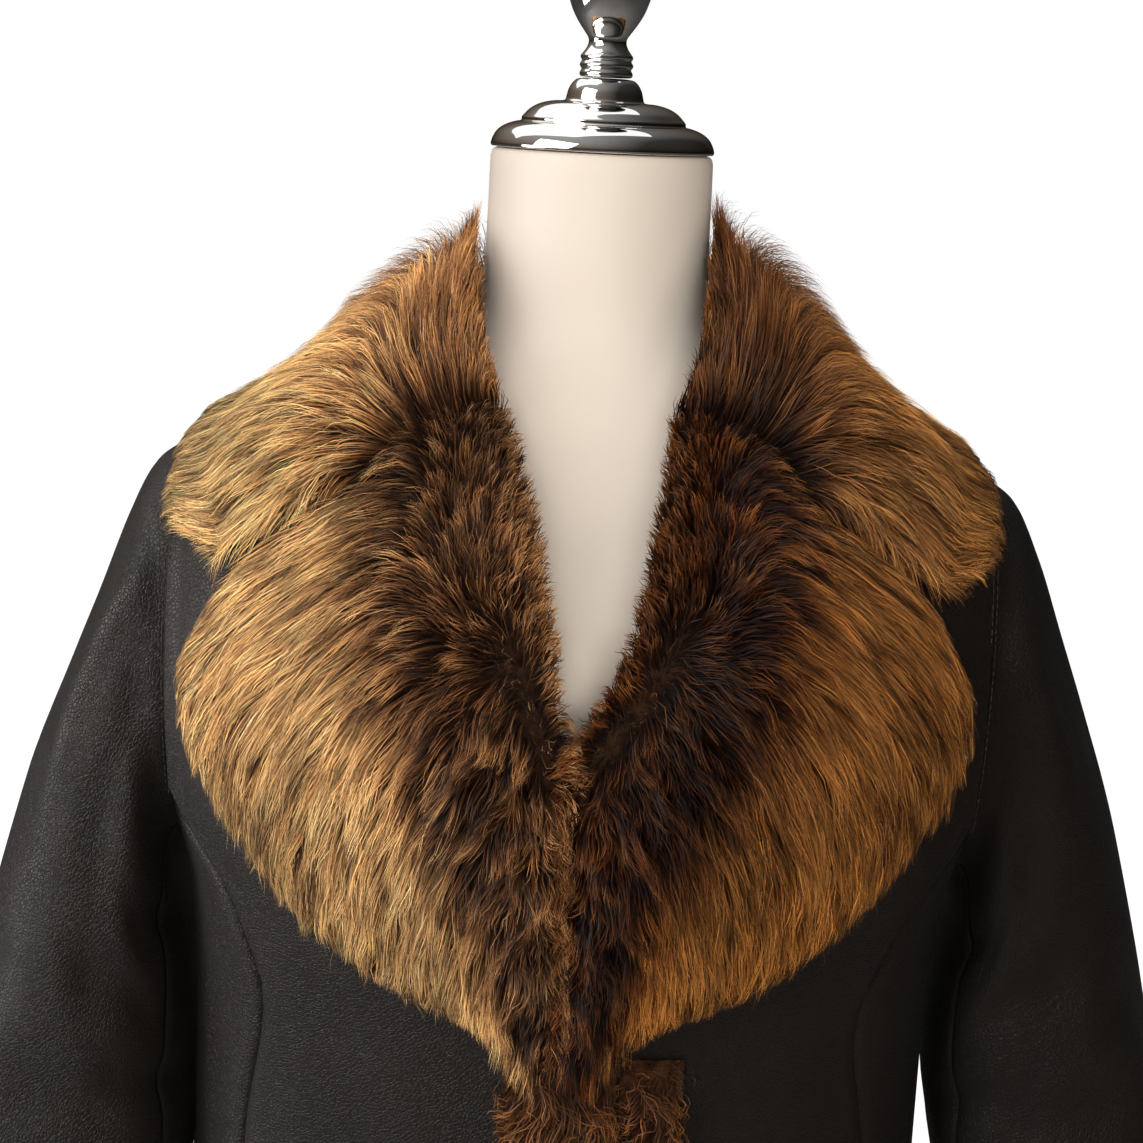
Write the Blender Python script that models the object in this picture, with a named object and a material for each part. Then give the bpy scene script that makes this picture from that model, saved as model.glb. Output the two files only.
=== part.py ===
"""A shearling coat with a long-haired notched collar, standing on a limbless dress form.

Metres, +Z up. The coat faces -Y, the wearer's left is +X, and the origin is the centre of the stand's underside.

One figure gives every surface. FIGURE holds horizontal sections of the coat's outer leather, and a place on it is
read by its turn (degrees round the figure: 0 at the centre front, 90 at the wearer's left, 180 at the centre back)
and its height. The cut panels are patches of that surface, the dress form lies inside it, and the fur lies on it.
"""

import math

import bmesh
import bpy
import numpy as np

# ---------------------------------------------------------------- driving sizes

SEAM_GAP = 0.0004  # between two pieces that are sewn together
WALL = 0.005  # leather with its shorn wool inside
FUR_CLEARANCE = 0.0022  # between a panel's leather and the back of the collar or lapel lying on it
TRIM_CLEARANCE = 0.0007  # the same under the trims, where the leather is nearly flat
HEM = 0.500
UNDERARM = 1.168
SHOULDER_TIP = 1.385
NECKLINE = 1.447
CLOSING = 1.116  # below this height the two front edges meet
NECK_TOP = 1.540
FORM_FOOT = 0.800

# The coat's outer leather: height, half width, front depth, back depth, squareness of the section's corners.
FIGURE = (
    (0.500, 0.262, 0.186, 0.196, 0.03),
    (0.620, 0.248, 0.173, 0.184, 0.04),
    (0.750, 0.229, 0.158, 0.169, 0.05),
    (0.850, 0.214, 0.147, 0.158, 0.05),
    (0.950, 0.202, 0.136, 0.140, 0.05),
    (1.030, 0.1955, 0.130, 0.124, 0.05),
    (1.100, 0.1955, 0.138, 0.124, 0.05),
    (1.168, 0.200, 0.150, 0.128, 0.06),
    (1.220, 0.213, 0.155, 0.131, 0.07),
    (1.270, 0.218, 0.152, 0.133, 0.08),
    (1.310, 0.219, 0.142, 0.131, 0.08),
    (1.345, 0.217, 0.124, 0.122, 0.08),
    (1.370, 0.212, 0.104, 0.107, 0.08),
    (1.385, 0.205, 0.093, 0.097, 0.07),
    (1.400, 0.184, 0.083, 0.088, 0.06),
    (1.415, 0.152, 0.076, 0.081, 0.05),
    (1.430, 0.115, 0.070, 0.075, 0.03),
    (1.445, 0.084, 0.066, 0.069, 0.01),
    (1.460, 0.068, 0.063, 0.065, 0.00),
    (1.480, 0.0633, 0.0620, 0.0625, 0.00),
    (1.540, 0.0615, 0.0615, 0.0615, 0.00),
)

# How far inside the leather the dress form lies: height, at the front and back, at the sides.
FORM_EASE = (
    (0.500, 0.066, 0.066),
    (0.800, 0.056, 0.056),
    (0.950, 0.036, 0.048),
    (1.030, 0.040, 0.054),
    (1.100, 0.036, 0.050),
    (1.168, 0.027, 0.042),
    (1.220, 0.020, 0.045),
    (1.270, 0.016, 0.042),
    (1.310, 0.013, 0.038),
    (1.345, 0.010, 0.035),
    (1.370, 0.0088, 0.034),
    (1.385, 0.0078, 0.026),
    (1.400, 0.0073, 0.0073),
    (1.447, 0.0073, 0.0073),
    (1.485, 0.0062, 0.0062),
    (1.540, 0.0056, 0.0056),
)

# The skirt's soft flutes: turn, half width in degrees, how far it stands out at the hem.
FLUTES = (
    (-158, 12, 0.011),
    (-118, 13, 0.013),
    (-76, 12, 0.010),
    (-33, 11, 0.009),
    (27, 12, 0.010),
    (66, 11, 0.012),
    (109, 13, 0.010),
    (147, 12, 0.012),
    (178, 9, 0.008),
)
FLUTE_TOP = 1.02

# The panel seam under the arm, front and back: height, turn.
FRONT_SEAM = ((0.50, 50), (0.85, 50), (1.03, 51), (1.125, 46), (1.168, 51))
BACK_SEAM = ((0.50, 128), (0.85, 128), (1.03, 129), (1.125, 132), (1.168, 127))

# The front edges: height, half the opening between them, how far the closing line lies to the wearer's left.
FRONT_EDGE = (
    (0.500, 0.000, 0.0305),
    (1.116, 0.000, 0.0305),
    (1.150, 0.010, 0.0200),
    (1.205, 0.016, 0.0040),
    (1.268, 0.024, 0.0060),
    (1.345, 0.047, 0.0070),
    (1.390, 0.058, 0.0050),
    (1.447, 0.067, 0.0000),
)

SKIRT_ROWS = (0.500, 0.575, 0.650, 0.725, 0.800, 0.865, 0.925, 0.980, 1.030, 1.080, 1.125)
SHOULDER_ROWS = (1.400, 1.415, 1.431, 1.447)
ARMHOLE_STEPS = 10  # points from the underarm to the shoulder tip
SEAM_STEP = 3  # the armhole point where the panel seam ends
FRONT_COLUMNS, BACK_COLUMNS = 8, 7

# The sleeve's rings: outer side's distance and height, inner side's distance and height, depth to front and to
# back, how far the ring lies forward, and how round it is (0 keeps the armhole's shape).
SLEEVE = (
    (0.2205, 1.374, 0.2035, 1.1630, 0.083, 0.075, 0.000, 0.15),
    (0.2340, 1.348, 0.2050, 1.1500, 0.083, 0.077, 0.000, 0.45),
    (0.2495, 1.308, 0.2030, 1.1320, 0.080, 0.077, 0.001, 0.80),
    (0.2635, 1.272, 0.2000, 1.1120, 0.077, 0.075, 0.002, 1.00),
    (0.2785, 1.230, 0.1985, 1.0880, 0.075, 0.073, 0.003, 1.00),
    (0.2925, 1.182, 0.1980, 1.0580, 0.072, 0.071, 0.005, 1.00),
    (0.3035, 1.140, 0.1985, 1.0300, 0.070, 0.068, 0.008, 1.00),
    (0.3145, 1.096, 0.2005, 0.9980, 0.068, 0.066, 0.011, 1.00),
    (0.3255, 1.046, 0.2050, 0.9600, 0.066, 0.064, 0.015, 1.00),
    (0.3350, 0.994, 0.2120, 0.9200, 0.063, 0.062, 0.019, 1.00),
    (0.3420, 0.940, 0.2200, 0.8820, 0.060, 0.060, 0.023, 1.00),
    (0.3475, 0.882, 0.2290, 0.8400, 0.058, 0.058, 0.027, 1.00),
    (0.3510, 0.822, 0.2370, 0.7960, 0.057, 0.057, 0.030, 1.00),
)
# How much further from the body the left sleeve's inner side hangs: ring, metres.
LEFT_SLEEVE_HANG = ((5, 0.0), (6, 0.001), (7, 0.005), (8, 0.009), (9, 0.010), (10, 0.008), (12, 0.003), (13, 0.001))
SLEEVE_CORNERS = 0.07  # squareness that gives the soft ridge along the sleeve's front
# Crush folds: ring, turn round the sleeve (0 outer side, 90 front), half width in degrees, depth.
SLEEVE_FOLDS = (
    (3.0, 120, 34, 0.005),
    (5.1, 96, 40, 0.006),
    (6.6, 150, 42, 0.006),
    (7.9, 75, 38, 0.007),
    (9.0, 128, 36, 0.005),
    (6.0, 250, 36, 0.005),
    (8.4, 215, 36, 0.005),
)
SLEEVE_SEAM = 8  # ring point, from the outer side, where the top and under sleeves meet

# A fur piece's cross-section: share of the way from its inner to its outer edge, how much of the crest's height
# it has, and the height that is added to that.
PILE = (
    (0.00, 0.62, 0.000),
    (0.07, 1.00, 0.000),
    (0.19, 0.96, 0.000),
    (0.36, 0.40, 0.014),
    (0.56, 0.16, 0.016),
    (0.77, 0.04, 0.015),
    (0.93, 0.00, 0.012),
    (1.00, 0.00, 0.006),
)

# The lapel, from the gorge to its lowest point: inner edge's distance from the line between the lapels and its
# height, how far that line lies to the wearer's left, the outer edge's distance from the centre and its height, the
# crest's height, and how far the inner edge dips into the opening.
LAPEL = (
    (0.041, 1.4110, 0.000, 0.166, 1.3385, 0.032, 0.006),
    (0.037, 1.3900, 0.003, 0.180, 1.3110, 0.032, 0.007),
    (0.030, 1.3600, 0.006, 0.191, 1.2790, 0.033, 0.008),
    (0.021, 1.3220, 0.008, 0.185, 1.2500, 0.033, 0.008),
    (0.012, 1.2920, 0.008, 0.168, 1.2260, 0.032, 0.006),
    (0.004, 1.2640, 0.007, 0.146, 1.1980, 0.031, 0.003),
    (0.001, 1.2360, 0.005, 0.122, 1.1740, 0.030, 0.000),
    (0.001, 1.2060, 0.002, 0.098, 1.1570, 0.028, 0.000),
    (0.001, 1.1760, 0.000, 0.076, 1.1440, 0.026, 0.000),
    (0.001, 1.1500, 0.000, 0.053, 1.1350, 0.024, 0.000),
    (0.001, 1.1290, 0.000, 0.030, 1.1230, 0.021, 0.000),
)

# The collar, from the gorge to the centre back: turn and height of its seam at the neck, of a point on its way, and
# of its outer edge, the crest's height, how upright the crest stands (0 square to the body, 1 upright), and how far
# an upright crest leans in over the neck, per metre of its height.
COLLAR = (
    (14.5, 1.4125, 45.5, 1.3425, 59.5, 1.3525, 0.032, 0.0, 0.10),
    (24.0, 1.4280, 50.5, 1.3660, 64.5, 1.3650, 0.036, 0.3, 0.15),
    (42.0, 1.4430, 60.0, 1.3960, 71.0, 1.3790, 0.045, 0.8, 0.22),
    (66.0, 1.4520, 75.0, 1.4180, 79.0, 1.3910, 0.051, 1.0, 0.27),
    (90.0, 1.4530, 94.0, 1.4190, 96.0, 1.3910, 0.052, 1.0, 0.28),
    (118.0, 1.4530, 120.0, 1.4090, 122.0, 1.3650, 0.050, 1.0, 0.22),
    (148.0, 1.4530, 148.0, 1.3990, 150.0, 1.3440, 0.049, 1.0, 0.16),
    (180.0, 1.4530, 180.0, 1.3960, 180.0, 1.3380, 0.048, 1.0, 0.14),
)
COLLAR_BEND = 0.62  # share of the way at which a collar line passes its middle point
COLLAR_STATIONS = 12  # from the gorge to the centre back
SLEEVE_HEAD = (0.178, 0.212, 0.004)  # the collar rises over the sleeve's head: from, to, how far

# The fur trims down the front edges: name, distances of their edges from the centre, towards the wearer's left.
TRIMS = (("trim_right", -0.0280, 0.0302), ("trim_left", 0.0308, 0.0620))
TRIM_ROWS = (0.5005, 0.58, 0.66, 0.74, 0.82, 0.895, 0.965, 1.03, 1.075, 1.113)
TRIM_PILE = ((0.0, 0.005), (0.14, 0.014), (0.36, 0.021), (0.64, 0.021), (0.86, 0.014), (1.0, 0.005))

# Turned metal: radius and height above the neck's top, in millimetres.
CAP_PROFILE = (
    (55.6, 0.4), (56.2, 2.0), (55.6, 5.0), (53.4, 8.6), (49.2, 11.8), (43.2, 13.7), (41.2, 14.1), (40.4, 16.2),
    (37.4, 19.6), (32.6, 22.6), (26.0, 24.2), (20.0, 24.6), (19.2, 27.0), (17.6, 31.6), (13.4, 36.0),
)
FINIAL_PROFILE = (
    (12.4, 36.3), (13.3, 38.4), (12.3, 40.5), (13.4, 42.6), (12.3, 44.6), (13.2, 46.8), (11.0, 49.8), (9.4, 53.0),
    (11.0, 57.6), (14.4, 62.4), (18.0, 68.5), (21.0, 76.8), (22.0, 84.5), (21.2, 93.0), (18.4, 101.5), (13.0, 109.5),
    (6.2, 114.4), (4.4, 116.4), (5.2, 119.0), (3.2, 121.8),
)
STAND_PROFILE = (
    (168.0, 0.0), (170.0, 2.0), (170.0, 8.0), (166.0, 11.0), (120.0, 14.5), (70.0, 18.0), (36.0, 22.0), (24.0, 30.0),
    (21.0, 46.0),
)
POLE_PROFILE = ((14.0, 46.3), (14.0, 799.6))
TURNED_SIDES = 28
FORM_SIDES = 28
FORM_ROWS = (
    0.800, 0.860, 0.930, 1.000, 1.060, 1.120, 1.175, 1.225, 1.270, 1.310, 1.345, 1.370, 1.387, 1.400, 1.415, 1.431,
    1.447, 1.463, 1.485, 1.540,
)

# Colour, roughness and metallic value of each material.
MATERIALS = {
    "coat_leather": ((0.028, 0.024, 0.025), 0.46, 0.0),
    "long_fur": ((0.36, 0.19, 0.085), 0.80, 0.0),
    "form_cover": ((0.80, 0.76, 0.70), 0.50, 0.0),
    "chrome": ((0.86, 0.85, 0.83), 0.07, 1.0),
    "stand_metal": ((0.70, 0.69, 0.67), 0.25, 1.0),
}


# ---------------------------------------------------------------- smooth tables

class Track:
    """A smooth curve through a table's rows that never overshoots them. The first column is the place."""

    def __init__(self, rows):
        table = np.array(rows, float)
        self.at = table[:, 0]
        self.values = table[:, 1:]
        step = np.diff(self.at)[:, None]
        rise = np.diff(self.values, axis=0) / step
        self.slope = np.zeros_like(self.values)
        self.slope[0], self.slope[-1] = rise[0], rise[-1]
        before, after = rise[:-1], rise[1:]
        early = 2 * step[1:] + step[:-1]
        late = step[1:] + 2 * step[:-1]
        same_way = before * after > 0
        safe_before = np.where(same_way, before, 1.0)
        safe_after = np.where(same_way, after, 1.0)
        mean = (early + late) / (early / safe_before + late / safe_after)
        self.slope[1:-1] = np.where(same_way, mean, 0.0)

    def __call__(self, place):
        place = min(max(place, self.at[0]), self.at[-1])
        i = min(max(int(np.searchsorted(self.at, place)) - 1, 0), len(self.at) - 2)
        step = self.at[i + 1] - self.at[i]
        t = (place - self.at[i]) / step
        start = (2 * t**3 - 3 * t**2 + 1) * self.values[i] + (t**3 - 2 * t**2 + t) * step * self.slope[i]
        end = (3 * t**2 - 2 * t**3) * self.values[i + 1] + (t**3 - t**2) * step * self.slope[i + 1]
        return start + end


def mix(a, b, share):
    return a + (b - a) * share


def unit(vector):
    return vector / np.linalg.norm(vector)


def smooth_step(value, low, high):
    t = min(max((value - low) / (high - low), 0.0), 1.0)
    return t * t * (3 - 2 * t)


figure_track = Track(FIGURE)
ease_track = Track(FORM_EASE)
edge_track = Track(FRONT_EDGE)
front_seam_track = Track(FRONT_SEAM)
back_seam_track = Track(BACK_SEAM)
pile_track = Track(PILE)
hang_track = Track(LEFT_SLEEVE_HANG)


# ---------------------------------------------------------------- the figure's surface

def flute(turn, height):
    """How far the skirt's flutes push the leather out."""
    ramp = max(FLUTE_TOP - height, 0.0) / (FLUTE_TOP - HEM)
    apart = (abs((turn - at + 180) % 360 - 180) / width for at, width, depth in FLUTES)
    bulge = sum(row[2] * math.exp(-a * a) for a, row in zip(apart, FLUTES))
    return bulge * ramp**1.3


def body_point(turn, height):
    """The point of the coat's outer leather at that turn and height."""
    half_width, front, back, squareness = figure_track(height)
    angle = math.radians(turn)
    depth = front if math.cos(angle) > 0 else back
    corner = 1 + squareness * math.sin(2 * angle) ** 2
    flat = np.array([half_width * math.sin(angle) * corner, -depth * math.cos(angle) * corner, 0.0])
    flat *= 1 + flute(turn, height) / np.linalg.norm(flat)
    return flat + np.array([0.0, 0.0, height])


def body_normal(turn, height):
    """The unit normal there, pointing out of the coat."""
    around = body_point(turn + 0.05, height) - body_point(turn - 0.05, height)
    up = body_point(turn, height + 1e-4) - body_point(turn, height - 1e-4)
    return unit(np.cross(around, up))


def turn_at(distance, height):
    """The turn, on the front, at which the surface lies that far to the wearer's left."""
    low, high = -89.0, 89.0
    for _ in range(50):
        middle = (low + high) / 2
        if body_point(middle, height)[0] < distance:
            low = middle
        else:
            high = middle
    return (low + high) / 2


def moved(turn, height, metres):
    """The turn after going that far round the figure."""
    speed = np.linalg.norm(body_point(turn + 0.5, height) - body_point(turn - 0.5, height))
    return turn + metres / speed


def armhole_distance(height):
    """How far from the centre the flat armhole lies."""
    low, high = body_point(90, UNDERARM)[0], body_point(90, SHOULDER_TIP)[0]
    return mix(low, high, (height - UNDERARM) / (SHOULDER_TIP - UNDERARM))


def armhole_turn(height, behind, gap=SEAM_GAP / 2):
    """The turn at which the leather is cut for the armhole, in front of the arm or behind it."""
    wanted = armhole_distance(height) - gap
    low, high = (20.0, 90.0) if not behind else (160.0, 90.0)
    for _ in range(50):
        middle = (low + high) / 2
        if body_point(middle, height)[0] < wanted:
            low = middle
        else:
            high = middle
    return (low + high) / 2


def armhole_height(step):
    middle = (UNDERARM + SHOULDER_TIP) / 2
    return middle - (SHOULDER_TIP - UNDERARM) / 2 * math.cos(math.pi * step / ARMHOLE_STEPS)


SEAM_TOP = armhole_height(SEAM_STEP)
JOIN_ROWS = tuple(mix(SKIRT_ROWS[-1], SEAM_TOP, share) for share in (1 / 3, 2 / 3, 1))


def seam_turn(height, behind):
    """The turn of the panel seam, which runs up into the armhole."""
    track = back_seam_track if behind else front_seam_track
    last = UNDERARM
    if height <= last:
        return float(track(height)[0])
    end = armhole_turn(SEAM_TOP, behind, 0.0)
    share = (height - last) / (SEAM_TOP - last)
    return mix(float(track(last)[0]), end, share**1.4)


# ---------------------------------------------------------------- solids

def split_quad(points, a, b, c, d):
    """The quad's two triangles, split along its shorter diagonal."""
    if np.linalg.norm(points[a] - points[c]) <= np.linalg.norm(points[b] - points[d]):
        return [(a, b, c), (a, c, d)]
    return [(a, b, d), (b, c, d)]


def add_object(name, points, faces, material):
    """A closed mesh object with its faces turned outwards."""
    mesh = bpy.data.meshes.new(name)
    mesh.from_pydata([tuple(map(float, p)) for p in points], [], faces)
    shape = bmesh.new()
    shape.from_mesh(mesh)
    bmesh.ops.recalc_face_normals(shape, faces=shape.faces)
    shape.to_mesh(mesh)
    shape.free()
    mesh.shade_smooth()
    mesh.set_sharp_from_angle(angle=math.radians(40))
    thing = bpy.data.objects.new(name, mesh)
    bpy.context.scene.collection.objects.link(thing)
    mesh.materials.append(material)
    return thing


def wall(name, outer, inner, material):
    """A closed solid between two grids of points, rows by columns.

    The quads round its rim are split the same way in every piece, so that two pieces fit along a twisted seam.
    """
    rows, columns = len(outer), len(outer[0])
    points = [p for row in outer for p in row] + [p for row in inner for p in row]
    count = rows * columns
    faces = []
    for i in range(rows - 1):
        for j in range(columns - 1):
            a = i * columns + j
            quad = (a, a + 1, a + columns + 1, a + columns)
            faces += split_quad(points, *quad)
            faces += split_quad(points, *(k + count for k in reversed(quad)))
    rim = [j for j in range(columns)]
    rim += [i * columns + columns - 1 for i in range(1, rows)]
    rim += [(rows - 1) * columns + j for j in range(columns - 2, -1, -1)]
    rim += [i * columns for i in range(rows - 2, 0, -1)]
    for a, b in zip(rim, rim[1:] + rim[:1]):
        low, high = min(a, b), max(a, b)
        faces.append((low, high, high + count))
        faces.append((low, high + count, low + count))
    return add_object(name, points, faces, material)


def tube(name, rings, material):
    """A closed solid lofted through closed rings, with flat ends."""
    sides = len(rings[0])
    points = [p for ring in rings for p in ring]
    faces = [tuple(range(sides)), tuple(range(len(points) - 1, len(points) - sides - 1, -1))]
    for i in range(len(rings) - 1):
        for j in range(sides):
            a, b = i * sides + j, i * sides + (j + 1) % sides
            faces += split_quad(points, a, b, b + sides, a + sides)
    return add_object(name, points, faces, material)


def turned(name, profile, lift, material):
    """A solid turned about the Z axis from a profile in millimetres."""
    rings = []
    for radius, height in profile:
        angles = [2 * math.pi * j / TURNED_SIDES for j in range(TURNED_SIDES)]
        flat = [(radius * math.cos(a), radius * math.sin(a), height) for a in angles]
        rings.append(np.array(flat) / 1000 + [0, 0, lift])
    return tube(name, rings, material)


# ---------------------------------------------------------------- the coat's panels

def panel(name, side, rows, material):
    """A cut panel. Each row is its height and the turns of its points, on the wearer's left side.

    side is 1 for the wearer's left and -1 for the right.
    """
    outer, inner = [], []
    for height_of, turns in rows:
        outer.append([])
        inner.append([])
        for column, turn in enumerate(turns):
            height = height_of(column)
            point = body_point(side * turn, height)
            outer[-1].append(point)
            inner[-1].append(point - WALL * body_normal(side * turn, height))
    return wall(name, outer, inner, material)


def level(height):
    return lambda column: height


def panel_heights():
    """(height, which part of the side it runs along) for the rows that front and back panels share."""
    rows = [(h, "seam") for h in SKIRT_ROWS + JOIN_ROWS]
    rows += [(armhole_height(k), "armhole") for k in range(SEAM_STEP + 1, ARMHOLE_STEPS)]
    rows += [(SHOULDER_TIP, "shoulder")] + [(h, "shoulder") for h in SHOULDER_ROWS]
    return rows


def side_turn(height, kind, behind):
    """The turn of a front or back panel's outer edge."""
    inward = SEAM_GAP / 2 * (1 if behind else -1)
    if kind == "seam":
        return moved(seam_turn(height, behind), height, inward)
    if kind == "armhole":
        return armhole_turn(height, behind)
    return moved(90, height, inward)


def front_panel(name, side, material):
    rows = []
    for height, kind in panel_heights():
        half_opening, closing_line = edge_track(height)
        start = turn_at(half_opening + side * closing_line + SEAM_GAP / 2, height)
        end = side_turn(height, kind, False)
        turns = [mix(start, end, j / FRONT_COLUMNS) for j in range(FRONT_COLUMNS + 1)]
        rows.append((level(height), turns))
    return panel(name, side, rows, material)


def back_panel(name, side, material):
    rows = []
    for height, kind in panel_heights():
        start = side_turn(height, kind, True)
        end = moved(180, height, -SEAM_GAP / 2)
        turns = [mix(start, end, j / BACK_COLUMNS) for j in range(BACK_COLUMNS + 1)]
        rows.append((level(height), turns))
    return panel(name, side, rows, material)


def side_panel(name, side, material):
    """The panel under the arm, whose top edge is the foot of the armhole."""
    steps = list(range(-SEAM_STEP, SEAM_STEP + 1))
    tops = [armhole_height(abs(k)) - (0.0 if abs(k) == SEAM_STEP else SEAM_GAP) for k in steps]
    shares = []
    for k, top in zip(steps, tops):
        here = armhole_turn(armhole_height(abs(k)), k > 0, 0.0) if k else 90.0
        low, high = seam_turn(top, False), seam_turn(top, True)
        shares.append(min(max((here - low) / (high - low), 0.0), 1.0))
    shares[0], shares[-1] = 0.0, 1.0

    def row(height_of):
        turns = []
        for column, share in enumerate(shares):
            height = height_of(column)
            low = moved(seam_turn(height, False), height, SEAM_GAP / 2)
            high = moved(seam_turn(height, True), height, -SEAM_GAP / 2)
            turns.append(mix(low, high, share))
        return height_of, turns

    rows = [row(level(h)) for h in SKIRT_ROWS]
    for share in (1 / 3, 2 / 3, 1):
        rows.append(row(lambda column, share=share: mix(SKIRT_ROWS[-1], tops[column], share)))
    return panel(name, side, rows, material)


# ---------------------------------------------------------------- the sleeves

def sleeve_fold(ring, around):
    """How far the crush folds press the sleeve in at a ring and a turn round it."""
    depth = 0.0
    for at, turn, width, deep in SLEEVE_FOLDS:
        across = abs((around - turn + 180) % 360 - 180) / width
        along = abs(ring - at) / 0.8
        depth += deep * math.exp(-across * across - along * along)
    return depth


def sleeve_rings(side):
    """A sleeve's rings as on the wearer's left, each from the outer side round by the front."""
    count = 2 * ARMHOLE_STEPS
    armhole = []
    for j in range(count):
        step = abs(ARMHOLE_STEPS - j)
        height = armhole_height(step)
        turn = 90.0 if step in (0, ARMHOLE_STEPS) else armhole_turn(height, j > ARMHOLE_STEPS, -SEAM_GAP / 2)
        armhole.append(body_point(turn, height) + np.array([SEAM_GAP / 2, 0, 0]))
    rings = [armhole]
    for number, row in enumerate(SLEEVE, 1):
        outer_x, outer_z, inner_x, inner_z, front, back, forward, roundness = row
        inner_x += float(hang_track(number)[0]) if side > 0 else 0.0
        middle = np.array([(outer_x + inner_x) / 2, -forward, (outer_z + inner_z) / 2])
        reach = np.array([(outer_x - inner_x) / 2, 0.0, (outer_z - inner_z) / 2])
        ring = []
        for j in range(count):
            angle = 2 * math.pi * j / count
            depth = front if math.sin(angle) > 0 else back
            corner = 1 + SLEEVE_CORNERS * math.sin(2 * angle) ** 2
            across = mix(-armhole[j][1], depth * math.sin(angle) * corner, roundness)
            point = middle + reach * math.cos(angle) * mix(1.0, corner, roundness) + np.array([0, -across, 0])
            inwards = unit(middle - point)
            ring.append(point + inwards * sleeve_fold(number, math.degrees(angle)))
        rings.append(ring)
    return np.array(rings)


def sleeve(side, material):
    """The top sleeve and the under sleeve of one arm."""
    outer = sleeve_rings(side)
    around = np.roll(outer, -1, axis=1) - np.roll(outer, 1, axis=1)
    along = np.gradient(outer, axis=0)
    normals = np.cross(along, around)
    normals /= np.linalg.norm(normals, axis=2, keepdims=True)
    middles = outer.mean(axis=1, keepdims=True)
    if ((outer - middles) * normals).sum() < 0:
        normals = -normals
    for j, point in enumerate(outer[0]):
        leather = unit(point - np.array([0, 0, point[2]]))
        if normals[0, j, 0] > leather[0]:
            normals[0, j] = leather
    inner = outer - WALL * normals
    if side < 0:
        outer, inner = outer * [-1, 1, 1], inner * [-1, 1, 1]
    count = outer.shape[1]
    word = "left" if side > 0 else "right"
    halves = (
        ("top_sleeve_" + word, [j % count for j in range(-SLEEVE_SEAM, SLEEVE_SEAM + 1)]),
        ("under_sleeve_" + word, list(range(SLEEVE_SEAM, count - SLEEVE_SEAM + 1))),
    )
    for name, columns in halves:
        skins = []
        for skin in (outer, inner):
            part = skin[:, columns].copy()
            for edge, inside in ((0, 1), (-1, -2)):
                away = part[:, inside] - part[:, edge]
                part[:, edge] += SEAM_GAP / 2 * away / np.linalg.norm(away, axis=1, keepdims=True)
            skins.append(part)
        wall(name, skins[0], skins[1], material)


# ---------------------------------------------------------------- fur pieces

def pile(share, crest):
    """How high the fur stands over the leather, at that share of the way across a piece."""
    part, added = pile_track(share)
    return crest * part + added


def fur_line(path, crest, upright, over, dip, side):
    """One line across a fur piece: the points of its top and of its back.

    path gives (turn, height) for a share of the way from the neck or opening to the outer edge.
    """
    top, back = [], []
    for share in (row[0] for row in PILE):
        turn, height = path(share)
        point, normal = body_point(side * turn, height), body_normal(side * turn, height)
        start, end, rise = SLEEVE_HEAD
        point = point + rise * smooth_step(abs(point[0]), start, end) * normal
        outwards = unit(np.array([point[0], point[1], 0.0]))
        stand = np.array([0.0, 0.0, 1.0]) - over * outwards
        lean = upright * (1 - smooth_step(share, 0.10, 0.50))
        top.append(point + pile(share, crest) * unit(mix(normal, unit(stand), lean)))
        sunk = dip * (1 - smooth_step(share, 0.0, 0.07))
        back.append(point + (FUR_CLEARANCE - sunk) * normal)
    return top, back


def lapel(name, side, material):
    tops, backs = [], []
    for inner_x, inner_z, line_x, outer_x, outer_z, crest, dip in LAPEL:
        def path(share, ends=(inner_x + side * line_x, inner_z, outer_x, outer_z)):
            distance, height = mix(ends[0], ends[2], share), mix(ends[1], ends[3], share)
            return turn_at(distance, height), height

        top, back = fur_line(path, crest, 0.0, 0.0, dip, side)
        tops.append(top)
        backs.append(back)
    return wall(name, tops, backs, material)


def collar(material):
    """The whole collar, from one gorge round the back of the neck to the other."""
    numbered = [(i / (len(COLLAR) - 1),) + row for i, row in enumerate(COLLAR)]
    track = Track(numbered)
    tops, backs = [], []
    for station in range(-COLLAR_STATIONS, COLLAR_STATIONS + 1):
        side = -1 if station < 0 else 1
        values = track(1 - abs(station) / COLLAR_STATIONS)
        seam, bend, edge = values[0:2], values[2:4], values[4:6]

        def path(share, seam=seam, bend=bend, edge=edge):
            if share < COLLAR_BEND:
                return tuple(mix(seam, bend, share / COLLAR_BEND))
            return tuple(mix(bend, edge, (share - COLLAR_BEND) / (1 - COLLAR_BEND)))

        dip = 0.006 * (1 - smooth_step(values[0], 14.0, 50.0))
        top, back = fur_line(path, *values[6:9], dip, side)
        tops.append(top)
        backs.append(back)
    return wall("collar", tops, backs, material)


def trim(name, low, high, material):
    """A fur strip down a front edge."""
    tops, backs = [], []
    for height in TRIM_ROWS:
        top, back = [], []
        for share, thick in TRIM_PILE:
            turn = turn_at(mix(low, high, share), height)
            point, normal = body_point(turn, height), body_normal(turn, height)
            top.append(point + thick * normal)
            back.append(point + TRIM_CLEARANCE * normal)
        tops.append(top)
        backs.append(back)
    return wall(name, tops, backs, material)


# ---------------------------------------------------------------- the dress form

def dress_form(material):
    rings = []
    for height in FORM_ROWS:
        across, sideways = ease_track(height)
        ring = []
        for j in range(FORM_SIDES):
            turn = 360 * j / FORM_SIDES - 180
            angle = math.radians(turn)
            ease = across * math.cos(angle) ** 2 + sideways * math.sin(angle) ** 2
            point = body_point(turn, height) - (ease + flute(turn, height)) * body_normal(turn, height)
            if height in (FORM_ROWS[0], FORM_ROWS[-1]):
                point[2] = height
            ring.append(point)
        rings.append(ring)
    return tube("form_torso", rings, material)


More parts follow.
